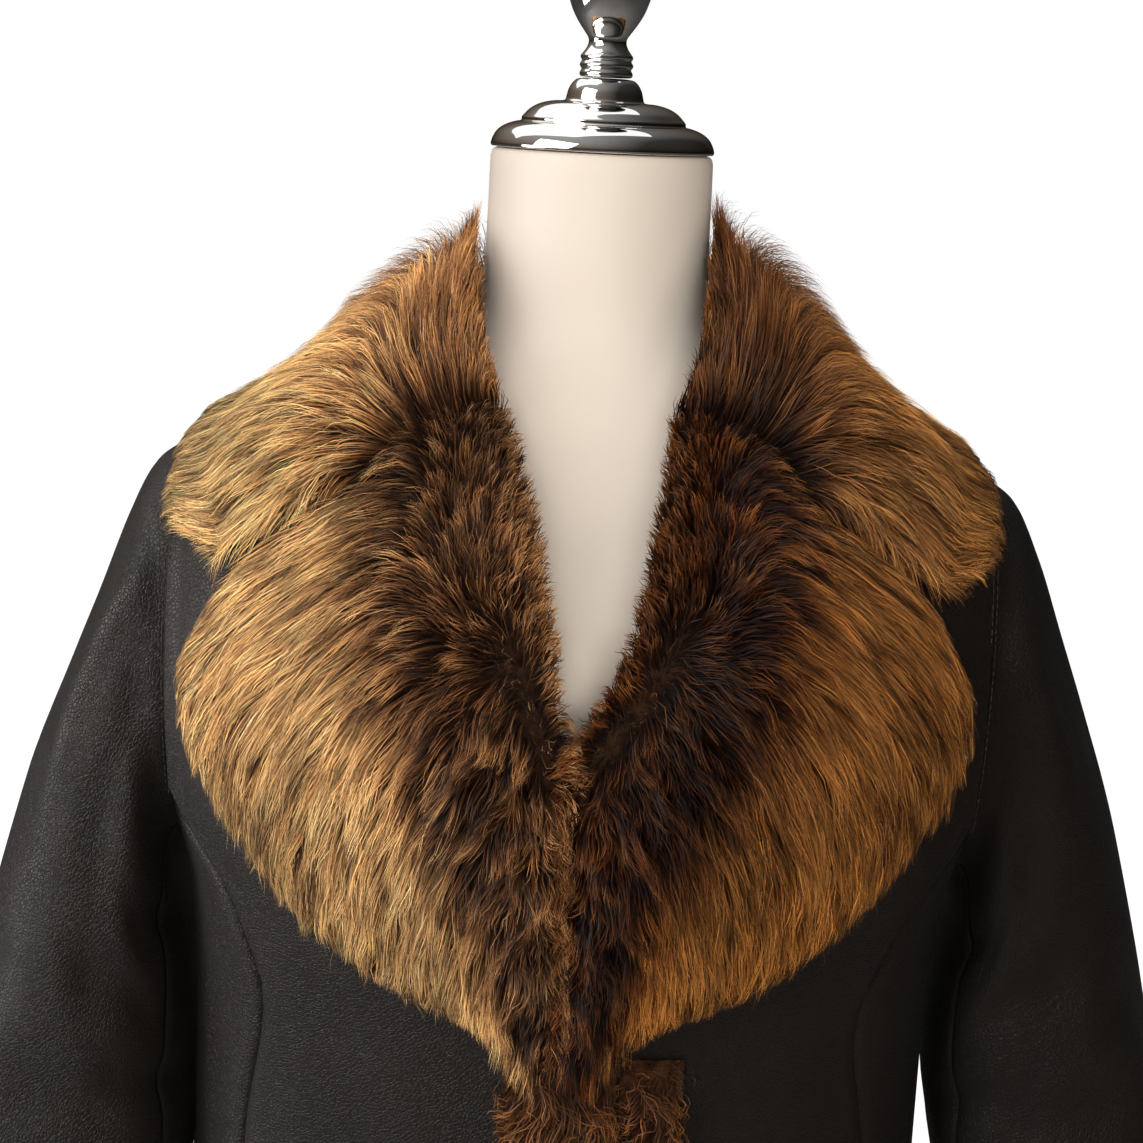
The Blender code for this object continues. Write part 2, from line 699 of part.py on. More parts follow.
def make_material(name):
    colour, roughness, metallic = MATERIALS[name]
    material = bpy.data.materials.new(name)
    material.use_nodes = True
    shader = material.node_tree.nodes["Principled BSDF"]
    shader.inputs["Base Color"].default_value = (*colour, 1.0)
    shader.inputs["Roughness"].default_value = roughness
    shader.inputs["Metallic"].default_value = metallic
    return material


def main():
    for thing in list(bpy.data.objects):
        bpy.data.objects.remove(thing)
    leather, fur = make_material("coat_leather"), make_material("long_fur")
    cover, chrome, steel = make_material("form_cover"), make_material("chrome"), make_material("stand_metal")
    for side, word in ((1, "left"), (-1, "right")):
        front_panel("front_" + word, side, leather)
        side_panel("side_" + word, side, leather)
        back_panel("back_" + word, side, leather)
        sleeve(side, leather)
        lapel("lapel_" + word, side, fur)
    collar(fur)
    for name, low, high in TRIMS:
        trim(name, low, high, fur)
    dress_form(cover)
    turned("neck_cap", CAP_PROFILE, NECK_TOP, chrome)
    turned("finial", FINIAL_PROFILE, NECK_TOP, chrome)
    turned("stand_base", STAND_PROFILE, 0.0, steel)
    turned("stand_pole", POLE_PROFILE, 0.0, steel)


main()
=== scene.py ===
"""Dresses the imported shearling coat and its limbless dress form.

Leather shells, long fur, shorn wool, stitching, chrome and the plain studio are built here, in metres,
round the fixed frame. One Figure gives every surface of the coat: a place on it is read by its turn
(degrees round the figure, 0 at the centre front, 90 at the wearer's left) and its height.
"""

from __future__ import annotations

import logging
import math
from collections.abc import Callable, Sequence
from dataclasses import dataclass, field
from enum import Enum

import bpy
import numpy as np
from mathutils import Matrix, Vector
from mathutils.kdtree import KDTree

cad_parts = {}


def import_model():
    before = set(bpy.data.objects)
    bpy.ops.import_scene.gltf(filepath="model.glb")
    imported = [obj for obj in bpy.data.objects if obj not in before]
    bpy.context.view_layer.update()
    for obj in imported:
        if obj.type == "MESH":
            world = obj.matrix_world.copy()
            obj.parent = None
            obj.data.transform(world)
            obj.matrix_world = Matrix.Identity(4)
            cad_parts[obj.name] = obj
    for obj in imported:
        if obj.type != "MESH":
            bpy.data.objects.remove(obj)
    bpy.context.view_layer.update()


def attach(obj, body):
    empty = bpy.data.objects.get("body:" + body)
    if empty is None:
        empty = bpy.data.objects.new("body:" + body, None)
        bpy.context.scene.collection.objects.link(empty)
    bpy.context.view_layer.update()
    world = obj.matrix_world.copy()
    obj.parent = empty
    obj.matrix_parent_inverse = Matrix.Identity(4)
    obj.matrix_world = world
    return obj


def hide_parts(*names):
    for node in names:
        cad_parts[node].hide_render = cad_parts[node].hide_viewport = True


LOG = logging.getLogger("shearling_coat")
Array = np.ndarray
Material = bpy.types.Material
Object = bpy.types.Object
Node = bpy.types.Node
NodeTree = bpy.types.NodeTree
Socket = bpy.types.NodeSocket
Colour = tuple[float, float, float]
Triple = tuple[float, float, float]
Rows = tuple[tuple[float, ...], ...]
Range = tuple[float, float]
Band = tuple[float, float, float, float]
Reach = tuple[float, Band, Band]

# ---------------------------------------------------------------- sizes of the coat

HEM = 0.500
UNDERARM = 1.168
SHOULDER_TIP = 1.385
NECKLINE = 1.447
NECK_TOP = 1.540
FORM_FOOT = 0.800
SIDE_BREAK = 1.125
ARMHOLE_STEPS = 10
SEAM_STEP = 3
FLUTE_TOP = 1.02
MILLIMETRE = 0.001
UPWARD = np.array([0.0, 0.0, 1.0])
LEVEL = np.array([1.0, 1.0, 0.0])
HALVINGS = 30
TINY = 1e-12
LEAST_CHANGE = 1e-9

# The outer leather: height, half width, front depth, back depth, squareness of the section's corners.
SECTIONS: Rows = (
    (0.500, 0.262, 0.186, 0.196, 0.03),
    (0.620, 0.248, 0.173, 0.184, 0.04),
    (0.750, 0.229, 0.158, 0.169, 0.05),
    (0.850, 0.214, 0.147, 0.158, 0.05),
    (0.950, 0.202, 0.136, 0.140, 0.05),
    (1.030, 0.1955, 0.130, 0.124, 0.05),
    (1.100, 0.1955, 0.138, 0.124, 0.05),
    (1.168, 0.200, 0.150, 0.128, 0.06),
    (1.220, 0.213, 0.155, 0.131, 0.07),
    (1.270, 0.218, 0.152, 0.133, 0.08),
    (1.310, 0.219, 0.142, 0.131, 0.08),
    (1.345, 0.217, 0.124, 0.122, 0.08),
    (1.370, 0.212, 0.104, 0.107, 0.08),
    (1.385, 0.205, 0.093, 0.097, 0.07),
    (1.400, 0.184, 0.083, 0.088, 0.06),
    (1.415, 0.152, 0.076, 0.081, 0.05),
    (1.430, 0.115, 0.070, 0.075, 0.03),
    (1.445, 0.084, 0.066, 0.069, 0.01),
    (1.460, 0.068, 0.063, 0.065, 0.00),
    (1.480, 0.0633, 0.0620, 0.0625, 0.00),
    (1.540, 0.0615, 0.0615, 0.0615, 0.00),
)

# How far inside the leather the form lies: height, at the front and back, at the sides.
FORM_EASE: Rows = (
    (0.500, 0.066, 0.066),
    (0.800, 0.056, 0.056),
    (0.950, 0.036, 0.048),
    (1.030, 0.040, 0.054),
    (1.100, 0.036, 0.050),
    (1.168, 0.027, 0.042),
    (1.220, 0.020, 0.045),
    (1.270, 0.016, 0.042),
    (1.310, 0.013, 0.038),
    (1.345, 0.010, 0.035),
    (1.370, 0.0088, 0.034),
    (1.385, 0.0078, 0.026),
    (1.400, 0.0073, 0.0073),
    (1.447, 0.0073, 0.0073),
    (1.485, 0.0062, 0.0062),
    (1.540, 0.0056, 0.0056),
)

# The skirt's soft flutes: turn, half width in degrees, how far each stands out at the hem.
FLUTES: Rows = (
    (-158, 12, 0.011),
    (-118, 13, 0.013),
    (-76, 12, 0.010),
    (-33, 11, 0.009),
    (27, 12, 0.010),
    (66, 11, 0.012),
    (109, 13, 0.010),
    (147, 12, 0.012),
    (178, 9, 0.008),
)

# The panel seams under the arm: height, turn.
FRONT_SEAM: Rows = ((0.50, 50), (0.85, 50), (1.03, 51), (1.125, 46), (1.168, 51))
BACK_SEAM: Rows = ((0.50, 128), (0.85, 128), (1.03, 129), (1.125, 132), (1.168, 127))

# The front edges: height, half the opening, how far the closing line lies to the wearer's left.
FRONT_EDGE: Rows = (
    (0.500, 0.000, 0.0305),
    (1.116, 0.000, 0.0305),
    (1.150, 0.010, 0.0200),
    (1.205, 0.016, 0.0040),
    (1.268, 0.024, 0.0060),
    (1.345, 0.047, 0.0070),
    (1.390, 0.058, 0.0050),
    (1.447, 0.067, 0.0000),
)

# Soft creases in the panels: first turn and height, last turn and height, half width, how far it stands
# out.
BODY_CREASES: Rows = (
    (47, 1.300, 58, 1.205, 0.011, -0.0022),
    (-46, 1.305, -60, 1.215, 0.012, -0.0024),
    (38, 1.190, 43, 1.060, 0.015, -0.0018),
    (-36, 1.150, -30, 1.010, 0.017, -0.0020),
    (18, 1.090, 12, 0.930, 0.016, -0.0014),
    (-60, 1.130, -66, 0.990, 0.014, -0.0022),
    (63, 1.120, 70, 0.980, 0.013, -0.0024),
    (24, 1.040, 44, 1.020, 0.012, -0.0013),
    (-24, 1.050, -46, 1.035, 0.011, -0.0014),
    (-14, 0.900, -9, 0.700, 0.022, -0.0022),
    (46, 0.880, 41, 0.640, 0.024, -0.0026),
    (120, 1.290, 138, 1.190, 0.014, -0.0028),
    (-119, 1.300, -136, 1.205, 0.013, -0.0026),
    (168, 1.120, 163, 0.960, 0.018, -0.0030),
    (-170, 1.110, -160, 0.950, 0.017, -0.0028),
    (150, 1.080, 172, 1.050, 0.012, -0.0018),
    (-146, 1.070, -171, 1.045, 0.013, -0.0020),
    (128, 0.930, 124, 0.700, 0.024, -0.0030),
    (-134, 0.920, -139, 0.680, 0.022, -0.0028),
    (88, 1.090, 95, 0.950, 0.016, -0.0024),
    (-91, 1.080, -84, 0.960, 0.015, -0.0024),
)

# A crease's shape: how far its middle bows aside, as a share of its length, and the band of its length
# that it has.
CREASE_BOW = 0.054
CREASE_FADE: Band = (-0.12, 0.28, 0.72, 1.12)

# The sleeve's rings: outer side's distance and height, inner side's distance and height, depth to front
# and to back, how far the ring lies forward, and how round it is (0 keeps the armhole's shape).
SLEEVE_RINGS: Rows = (
    (0.2205, 1.374, 0.2035, 1.1630, 0.083, 0.075, 0.000, 0.15),
    (0.2340, 1.348, 0.2050, 1.1500, 0.083, 0.077, 0.000, 0.45),
    (0.2495, 1.308, 0.2030, 1.1320, 0.080, 0.077, 0.001, 0.80),
    (0.2635, 1.272, 0.2000, 1.1120, 0.077, 0.075, 0.002, 1.00),
    (0.2785, 1.230, 0.1985, 1.0880, 0.075, 0.073, 0.003, 1.00),
    (0.2925, 1.182, 0.1980, 1.0580, 0.072, 0.071, 0.005, 1.00),
    (0.3035, 1.140, 0.1985, 1.0300, 0.070, 0.068, 0.008, 1.00),
    (0.3145, 1.096, 0.2005, 0.9980, 0.068, 0.066, 0.011, 1.00),
    (0.3255, 1.046, 0.2050, 0.9600, 0.066, 0.064, 0.015, 1.00),
    (0.3350, 0.994, 0.2120, 0.9200, 0.063, 0.062, 0.019, 1.00),
    (0.3420, 0.940, 0.2200, 0.8820, 0.060, 0.060, 0.023, 1.00),
    (0.3475, 0.882, 0.2290, 0.8400, 0.058, 0.058, 0.027, 1.00),
    (0.3510, 0.822, 0.2370, 0.7960, 0.057, 0.057, 0.030, 1.00),
)

# How much further from the body each sleeve's inner side hangs: ring, metres.
LEFT_SLEEVE_HANG: Rows = (
    (5, 0.0), (6, 0.001), (7, 0.005), (8, 0.009), (9, 0.010), (10, 0.008), (12, 0.003), (13, 0.001),
)
RIGHT_SLEEVE_HANG: Rows = (
    (5, 0.0), (6, -0.0008), (7, -0.0018), (8, -0.003), (9, -0.003), (11, -0.001), (13, 0.0),
)

# Creases in the sleeves: first ring and turn round the sleeve (0 outer side, 90 front), last ring and
# turn, half width in rings (30 degrees round count as one), how far it stands out.
LEFT_SLEEVE_CREASES: Rows = (
    (0.5, 74, 4.6, 60, 0.30, 0.0034),
    (1.2, 100, 4.8, 92, 0.42, -0.0030),
    (2.0, 40, 5.2, 28, 0.45, -0.0022),
    (2.6, 150, 4.4, 112, 0.40, -0.0046),
    (5.0, 132, 6.2, 70, 0.40, -0.0050),
    (6.0, 160, 7.2, 96, 0.42, -0.0056),
    (7.2, 128, 8.3, 52, 0.40, -0.0050),
    (8.3, 150, 9.3, 100, 0.42, -0.0044),
    (6.6, 60, 8.0, 20, 0.34, -0.0030),
    (9.8, 96, 11.6, 80, 0.50, -0.0026),
    (3.2, 250, 5.0, 210, 0.45, -0.0046),
    (5.6, 262, 7.2, 206, 0.45, -0.0056),
    (7.6, 250, 9.0, 215, 0.45, -0.0046),
    (1.0, 262, 5.6, 276, 0.50, -0.0036),
    (6.2, 330, 9.0, 312, 0.55, -0.0030),
)
RIGHT_SLEEVE_CREASES: Rows = (
    (0.3, 66, 5.2, 52, 0.24, 0.0046),
    (0.9, 96, 5.4, 88, 0.50, -0.0036),
    (1.6, 34, 5.0, 22, 0.50, -0.0030),
    (2.9, 152, 4.7, 116, 0.42, -0.0040),
    (5.3, 140, 6.3, 84, 0.42, -0.0046),
    (6.3, 164, 7.5, 104, 0.40, -0.0056),
    (7.6, 120, 8.5, 60, 0.42, -0.0046),
    (8.9, 146, 9.7, 96, 0.42, -0.0040),
    (6.9, 56, 8.3, 16, 0.36, -0.0034),
    (10.1, 90, 11.9, 70, 0.50, -0.0024),
    (3.5, 246, 5.3, 214, 0.45, -0.0048),
    (6.0, 258, 7.5, 204, 0.45, -0.0054),
    (8.0, 252, 9.4, 218, 0.45, -0.0044),
    (1.3, 266, 5.9, 280, 0.50, -0.0034),
    (5.8, 326, 8.6, 308, 0.55, -0.0032),
)

# A fur piece's cross-section: share of the way from its inner to its outer edge, how much of the crest's
# height it has, and the height that is added to that.
PILE: Rows = (
    (0.00, 0.62, 0.000),
    (0.07, 1.00, 0.000),
    (0.19, 0.96, 0.000),
    (0.36, 0.40, 0.014),
    (0.56, 0.16, 0.016),
    (0.77, 0.04, 0.015),
    (0.93, 0.00, 0.012),
    (1.00, 0.00, 0.006),
)
FUR_CLEARANCE = 0.0022
# Where the sleeve's head lifts the fur: the distances where it starts and is full, and by how much.
SLEEVE_HEAD = (0.178, 0.212, 0.004)

# The lapel, from the gorge to its lowest point: inner edge's distance from the line between the lapels
# and its height, how far that line lies to the wearer's left, the outer edge's distance and height, the
# crest's height, and how far the inner edge dips into the opening.
LAPEL: Rows = (
    (0.041, 1.4110, 0.000, 0.166, 1.3385, 0.032, 0.006),
    (0.037, 1.3900, 0.003, 0.180, 1.3110, 0.032, 0.007),
    (0.030, 1.3600, 0.006, 0.191, 1.2790, 0.033, 0.008),
    (0.021, 1.3220, 0.007, 0.185, 1.2500, 0.033, 0.008),
    (0.012, 1.2920, 0.003, 0.168, 1.2260, 0.032, 0.006),
    (0.002, 1.2640, -0.001, 0.146, 1.1980, 0.031, 0.003),
    (0.001, 1.2360, -0.002, 0.122, 1.1740, 0.030, 0.000),
    (0.001, 1.2060, -0.001, 0.098, 1.1570, 0.028, 0.000),
    (0.001, 1.1760, 0.000, 0.076, 1.1440, 0.026, 0.000),
    (0.001, 1.1500, 0.000, 0.053, 1.1350, 0.024, 0.000),
    (0.001, 1.1290, 0.000, 0.030, 1.1230, 0.021, 0.000),
)

# The collar, from the gorge to the centre back: turn and height of its seam, of a point on its way and of
# its outer edge, the crest's height, how upright the crest stands, and how far it leans in over the neck.
COLLAR: Rows = (
    (14.5, 1.4125, 45.5, 1.3425, 59.5, 1.3525, 0.032, 0.0, 0.10),
    (24.0, 1.4280, 50.5, 1.3660, 64.5, 1.3650, 0.036, 0.3, 0.15),
    (42.0, 1.4430, 60.0, 1.3960, 71.0, 1.3790, 0.045, 0.8, 0.22),
    (66.0, 1.4520, 75.0, 1.4180, 79.0, 1.3910, 0.051, 1.0, 0.27),
    (90.0, 1.4530, 94.0, 1.4190, 96.0, 1.3910, 0.052, 1.0, 0.28),
    (118.0, 1.4530, 120.0, 1.4090, 122.0, 1.3650, 0.050, 1.0, 0.22),
    (148.0, 1.4530, 148.0, 1.3990, 150.0, 1.3440, 0.049, 1.0, 0.16),
    (180.0, 1.4530, 180.0, 1.3960, 180.0, 1.3380, 0.048, 1.0, 0.14),
)
COLLAR_BEND = 0.62

# A band is where something sets in, is full, starts to fade and ends. These stand for its first or last
# two places where a piece's own edge bounds it.
FROM_START: Range = (-2.0, -1.0)
TO_END: Range = (2.0, 3.0)

# How steeply the lapel's hair falls: height, degrees below level. Outwards it falls more steeply: the
# share across where the table holds, degrees for the whole way across, and the least and most degrees.
FALL: Rows = (
    (1.10, 88), (1.16, 81), (1.21, 73), (1.26, 60), (1.31, 44), (1.36, 27), (1.41, 17), (1.46, 12),
)
FALL_CENTRE = 0.40
FALL_GAIN = 26.0
FALL_LIMITS: Range = (8.0, 84.0)
# Near the roll the hair fans up and back before it falls: share of the way across, degrees above straight
# out.
LAPEL_FAN: Rows = ((0.0, 134), (0.08, 112), (0.17, 82), (0.26, 50), (0.36, 20), (0.46, -4), (1.0, -8))
LAPEL_FAN_END: Range = (0.24, 0.50)
COLLAR_FAN: Rows = ((0.0, 132), (0.05, 108), (0.14, 66), (0.26, 30), (0.42, 10), (0.60, 0), (1.0, 0))
# Towards the foot of the opening the lapel's inner hair turns outwards and down: the heights where that
# starts at the edge and beyond the rim of short hair along it, that rim's shares across, over what height
# the hair turns, degrees at the inner edge, and the share across where the outer hair's fall takes over.
FAN_FOOT: Range = (1.292, 1.345)
FAN_RIM: Range = (0.03, 0.12)
FAN_FADE = 0.060
LOW_INNER_FALL = -100.0
INNER_SHARE = 0.30
# The lips of the opening's foot: their hair turns in over the edge, degrees and shares across.
LIP_FALL = 238.0
LIP: Range = (0.03, 0.10)
# Round the foot of the opening the hair is unruly: degrees, waves along and across, below what height and
# over what stretch it sets in, and the shares across where it fades out.
UNREST = 28.0
UNREST_WAVES: Range = (260.0, 170.0)
UNREST_PLACE: Range = (1.345, 0.06)
UNREST_EDGE: Range = (0.22, 0.45)

# How much further past its edge a piece's hair reaches: metres, the band along the piece and the band
# across it. The lapel's rows: over the tops of the trims, its outer edge low down, over the gorge, by the
# notch, and into the opening's foot.
LAPEL_REACH: tuple[Reach, ...] = (
    (0.022, (0.66, 0.98, *TO_END), (*FROM_START, 0.30, 0.60)),
    (-0.008, (0.55, 0.80, *TO_END), (0.45, 0.75, *TO_END)),
    (0.018, (*FROM_START, 0.0, 0.10), (0.05, 0.15, 0.45, 0.60)),
    (-0.012, (*FROM_START, 0.12, 0.30), (0.60, 0.85, *TO_END)),
    (0.010, (0.43, 0.50, 0.70, 0.80), (*FROM_START, 0.08, 0.18)),
)
# The collar's rows, along from the centre back (0) to the gorge (0.5): over the gorge, in over the neck,
# at the shoulders, and at the collar's points.
COLLAR_REACH: tuple[Reach, ...] = (
    (0.024, (0.44, 0.5, *TO_END), (0.14, 0.28, 0.46, 0.60)),
    (0.006, (0.20, 0.40, *TO_END), (*FROM_START, 0.04, 0.14)),
    (-0.005, (0.10, 0.20, *TO_END), (0.60, 0.80, *TO_END)),
    (0.014, (0.37, 0.43, *TO_END), (0.48, 0.66, *TO_END)),
)

# Turned metal: radius and height above the neck's top, in millimetres.
CAP_PROFILE: Rows = (
    (0.0, 0.4), (55.2, 0.4), (56.2, 1.2), (56.2, 2.6), (55.4, 5.0), (53.4, 8.6), (49.2, 11.6),
    (43.6, 13.4), (41.6, 13.6), (41.2, 14.2), (41.2, 15.6), (40.2, 16.6), (37.4, 19.8), (32.6, 22.6),
    (26.0, 24.2), (20.4, 24.4), (19.6, 25.0), (19.2, 27.0), (18.4, 30.4), (16.4, 33.8), (13.4, 36.0),
    (0.0, 36.0),
)
FINIAL_PROFILE: Rows = (
    (0.0, 36.3), (12.4, 36.3), (13.2, 37.2), (13.4, 38.4), (12.6, 39.8), (12.3, 40.4), (13.2, 41.4),
    (13.5, 42.6), (12.6, 44.0), (12.3, 44.6), (13.1, 45.6), (13.2, 46.8), (12.0, 48.2), (10.2, 50.8),
    (9.3, 53.4), (9.7, 55.6), (11.4, 58.0), (14.8, 62.6), (18.2, 68.5), (21.0, 76.8), (22.0, 84.5),
    (21.2, 93.0), (18.4, 101.5), (13.0, 109.3), (7.4, 113.6), (4.6, 115.6), (4.4, 116.6), (5.2, 118.6),
    (4.4, 121.0), (0.0, 121.8),
)
STAND_PROFILE: Rows = (
    (0.0, 0.0), (168.6, 0.0), (170.0, 1.4), (170.0, 7.6), (168.6, 9.6), (165.4, 11.0), (120.0, 14.5),
    (70.0, 18.0), (40.0, 21.4), (29.0, 25.4), (24.0, 32.0), (21.4, 40.0), (21.0, 45.0), (20.0, 46.0),
    (0.0, 46.0),
)
POLE_PROFILE: Rows = ((0.0, 46.3), (14.0, 46.3), (14.0, 799.6), (0.0, 799.6))


# ---------------------------------------------------------------- smooth tables and the figure


class Side(Enum):
    """Which of the wearer's sides a piece is on."""

    LEFT = 1
    RIGHT = -1

    @property
    def word(self) -> str:
        """The side's name in lower case."""
        return self.name.lower()


class Track:
    """A smooth curve through a table's rows that never overshoots them. The first column is the place."""

    def __init__(self, rows: Sequence[Sequence[float]]) -> None:
        """Works out the slope at each row.

        Args:
            rows: the table, with its places rising.
        """
        table = np.array(rows, float)
        self.at = table[:, 0]
        self.values = table[:, 1:]
        step = np.diff(self.at)[:, None]
        rise = np.diff(self.values, axis=0) / step
        self.slope = np.zeros_like(self.values)
        self.slope[0], self.slope[-1] = rise[0], rise[-1]
        before, after = rise[:-1], rise[1:]
        early = 2 * step[1:] + step[:-1]
        late = step[1:] + 2 * step[:-1]
        same_way = before * after > 0
        early_share = early / np.where(same_way, before, 1.0)
        late_share = late / np.where(same_way, after, 1.0)
        mean = (early + late) / (early_share + late_share)
        self.slope[1:-1] = np.where(same_way, mean, 0.0)

    def __call__(self, place: Array | float) -> Array:
        """The table's values at a place.

        Args:
            place: one place or an array of them.

        Returns:
            An array with one more axis than place, over the table's columns.
        """
        place = np.clip(np.asarray(place, float), self.at[0], self.at[-1])
        i = np.clip(np.searchsorted(self.at, place) - 1, 0, len(self.at) - 2)
        step = (self.at[i + 1] - self.at[i])[..., None]
        t = (place - self.at[i])[..., None] / step
        start = (2 * t**3 - 3 * t**2 + 1) * self.values[i]
        start = start + (t**3 - 2 * t**2 + t) * step * self.slope[i]
        end = (3 * t**2 - 2 * t**3) * self.values[i + 1]
        end = end + (t**3 - t**2) * step * self.slope[i + 1]
        return start + end


def mix(a: Array | float, b: Array | float, share: Array | float) -> Array | float:
    """The value that share of the way from a to b."""
    return a + (b - a) * share


def unit(vectors: Array) -> Array:
    """The vectors along the last axis, made one long."""
    return vectors / np.maximum(np.linalg.norm(vectors, axis=-1, keepdims=True), TINY)


def smooth_step(value: Array | float, low: float, high: float) -> Array:
    """0 below low, 1 above high, and a smooth rise between."""
    t = np.clip((np.asarray(value, float) - low) / (high - low), 0.0, 1.0)
    return t * t * (3 - 2 * t)


def band(value: Array | float, edges: Band) -> Array:
    """1 within a band, 0 outside it, with a smooth rise and fall at its edges."""
    start, full, fading, end = edges
    return smooth_step(value, start, full) * (1 - smooth_step(value, fading, end))


def crowded(count: int, crowding: float) -> Array:
    """Places rising from 0 to 1, even for a crowding of 0 and closest near both ends for 1."""
    even = np.linspace(0.0, 1.0, count)
    return mix(even, 0.5 - 0.5 * np.cos(math.pi * even), crowding)


@dataclass
class Figure:
    """The surface of the coat's outer leather, with the form inside it."""

    sections: Rows = SECTIONS
    flutes: Rows = FLUTES
    flute_growth: float = 1.3
    ease: Rows = FORM_EASE
    front_turn: float = 89.0
    armhole_reach: Range = (20.0, 160.0)
    small_turn: float = 0.05
    small_rise: float = 1e-4
    _sections: Track = field(init=False, repr=False)
    _ease: Track = field(init=False, repr=False)

    def __post_init__(self) -> None:
        """Makes the smooth tables."""
        self._sections = Track(self.sections)
        self._ease = Track(self.ease)

    def flute(self, turn: Array, height: Array) -> Array:
        """How far the skirt's flutes push the leather out.

        Args:
            turn: degrees round the figure.
            height: metres above the floor.

        Returns:
            Metres outwards.
        """
        ramp = np.maximum(FLUTE_TOP - height, 0.0) / (FLUTE_TOP - HEM)
        bulge = np.zeros(np.broadcast(turn, height).shape)
        for at, width, depth in self.flutes:
            apart = np.abs((turn - at + 180) % 360 - 180) / width
            bulge = bulge + depth * np.exp(-apart * apart)
        return bulge * ramp**self.flute_growth

    def point(self, turn: Array | float, height: Array | float) -> Array:
        """The points of the outer leather.

        Args:
            turn: degrees round the figure.
            height: metres above the floor.

        Returns:
            An array with one more axis, over x, y and z.
        """
        turn, height = np.broadcast_arrays(np.asarray(turn, float), np.asarray(height, float))
        half_width, front, back, squareness = np.moveaxis(self._sections(height), -1, 0)
        angle = np.radians(turn)
        depth = np.where(np.cos(angle) > 0, front, back)
        corner = 1 + squareness * np.sin(2 * angle) ** 2
        x = half_width * np.sin(angle) * corner
        y = -depth * np.cos(angle) * corner
        grown = 1 + self.flute(turn, height) / np.hypot(x, y)
        return np.stack([x * grown, y * grown, height], axis=-1)

    def normal(self, turn: Array | float, height: Array | float) -> Array:
        """The outer leather's unit normals, pointing out of the coat.

        Args:
            turn: degrees round the figure.
            height: metres above the floor.

        Returns:
            An array with one more axis.
        """
        turn, height = np.broadcast_arrays(np.asarray(turn, float), np.asarray(height, float))
        around = self.point(turn + self.small_turn, height) - self.point(turn - self.small_turn, height)
        up = self.point(turn, height + self.small_rise) - self.point(turn, height - self.small_rise)
        return unit(np.cross(around, up))

    def metres_per_degree(self, turn: Array, height: Array) -> Array:
        """How many metres of leather one degree of turn covers."""
        step = self.point(turn + 0.5, height) - self.point(turn - 0.5, height)
        return np.linalg.norm(step, axis=-1)

    def turn_between(self, near: Array, far: Array, distance: Array, height: Array) -> Array:
        """The turn between two others where the leather lies that far to the wearer's left.

        Args:
            near: degrees, where it lies less far.
            far: degrees, where it lies further.
            distance: metres from the middle.
            height: metres above the floor.

        Returns:
            Degrees.
        """
        for _ in range(HALVINGS):
            middle = (near + far) / 2
            short = self.point(middle, height)[..., 0] < distance
            near, far = np.where(short, middle, near), np.where(short, far, middle)
        return (near + far) / 2

    def turn_at(self, distance: Array | float, height: Array | float) -> Array:
        """The turn, on the front, where the leather lies some way to the wearer's left.

        Args:
            distance: metres to the left.
            height: metres above the floor.

        Returns:
            Degrees.
        """
        distance, height = np.broadcast_arrays(np.asarray(distance, float), np.asarray(height, float))
        side = np.full(height.shape, self.front_turn)
        return self.turn_between(-side, side, distance, height)

    def armhole_height(self, step: Array | float) -> Array:
        """The height of a step up the armhole, from 0 at the underarm to ARMHOLE_STEPS at the shoulder."""
        middle, reach = (UNDERARM + SHOULDER_TIP) / 2, (SHOULDER_TIP - UNDERARM) / 2
        return middle - reach * np.cos(math.pi * np.asarray(step, float) / ARMHOLE_STEPS)

    def armhole_turn(self, height: Array | float, behind: Array | bool, beyond: float = 0.0) -> Array:
        """The turn at which the flat armhole cuts the leather.

        Args:
            height: metres above the floor.
            behind: whether it is the cut behind the arm.
            beyond: metres further out than the cut.

        Returns:
            Degrees, up to 90 in front of the arm and from 90 behind it.
        """
        height, behind = np.broadcast_arrays(np.asarray(height, float), np.asarray(behind))
        low_x, high_x = self.point(90, UNDERARM)[0], self.point(90, SHOULDER_TIP)[0]
        wanted = mix(low_x, high_x, (height - UNDERARM) / (SHOULDER_TIP - UNDERARM)) + beyond
        near = np.where(behind, *self.armhole_reach[::-1])
        return self.turn_between(near, np.full(height.shape, 90.0), wanted, height)

    def form_point(self, turn: Array, height: Array) -> Array:
        """The points of the dress form's cover.

        Args:
            turn: degrees round the figure.
            height: metres above the floor.

        Returns:
            An array with one more axis.
        """
        turn, height = np.broadcast_arrays(np.asarray(turn, float), np.asarray(height, float))
        across, sideways = np.moveaxis(self._ease(height), -1, 0)
        angle = np.radians(turn)
        inward = across * np.cos(angle) ** 2 + sideways * np.sin(angle) ** 2 + self.flute(turn, height)
        points = self.point(turn, height) - inward[..., None] * self.normal(turn, height)
        points[..., 2] = np.where((height <= FORM_FOOT) | (height >= NECK_TOP), height, points[..., 2])
        return points


def crease_lift(creases: Rows, along: Array, across: Array, across_scale: float) -> Array:
    """How far listed creases lift a surface, as soft ridges or troughs that fade out at their ends.

    Args:
        creases: rows of first across and along, last across and along, half width, lift.
        along: each point's place along the surface.
        across: each point's place across it.
        across_scale: what one unit across is worth along.

    Returns:
        The lift at each point.
    """
    lift = np.zeros(np.broadcast(along, across).shape)
    for across_0, along_0, across_1, along_1, width, height in creases:
        start = np.array([across_0 * across_scale, along_0])
        run = np.array([across_1 * across_scale, along_1]) - start
        length = float(np.hypot(*run))
        here = np.stack(np.broadcast_arrays(across * across_scale, along), axis=-1) - start
        share = (here @ run) / length**2
        way = 1 if int(across_0) % 2 else -1
        bow = CREASE_BOW * length * np.sin(math.pi * np.clip(share, 0, 1)) * way
        off = (here[..., 0] * run[1] - here[..., 1] * run[0]) / length - bow
        fade = band(share, CREASE_FADE)
        lift = lift + height * fade * np.exp(-((off / width) ** 2))
    return lift


# ---------------------------------------------------------------- meshes

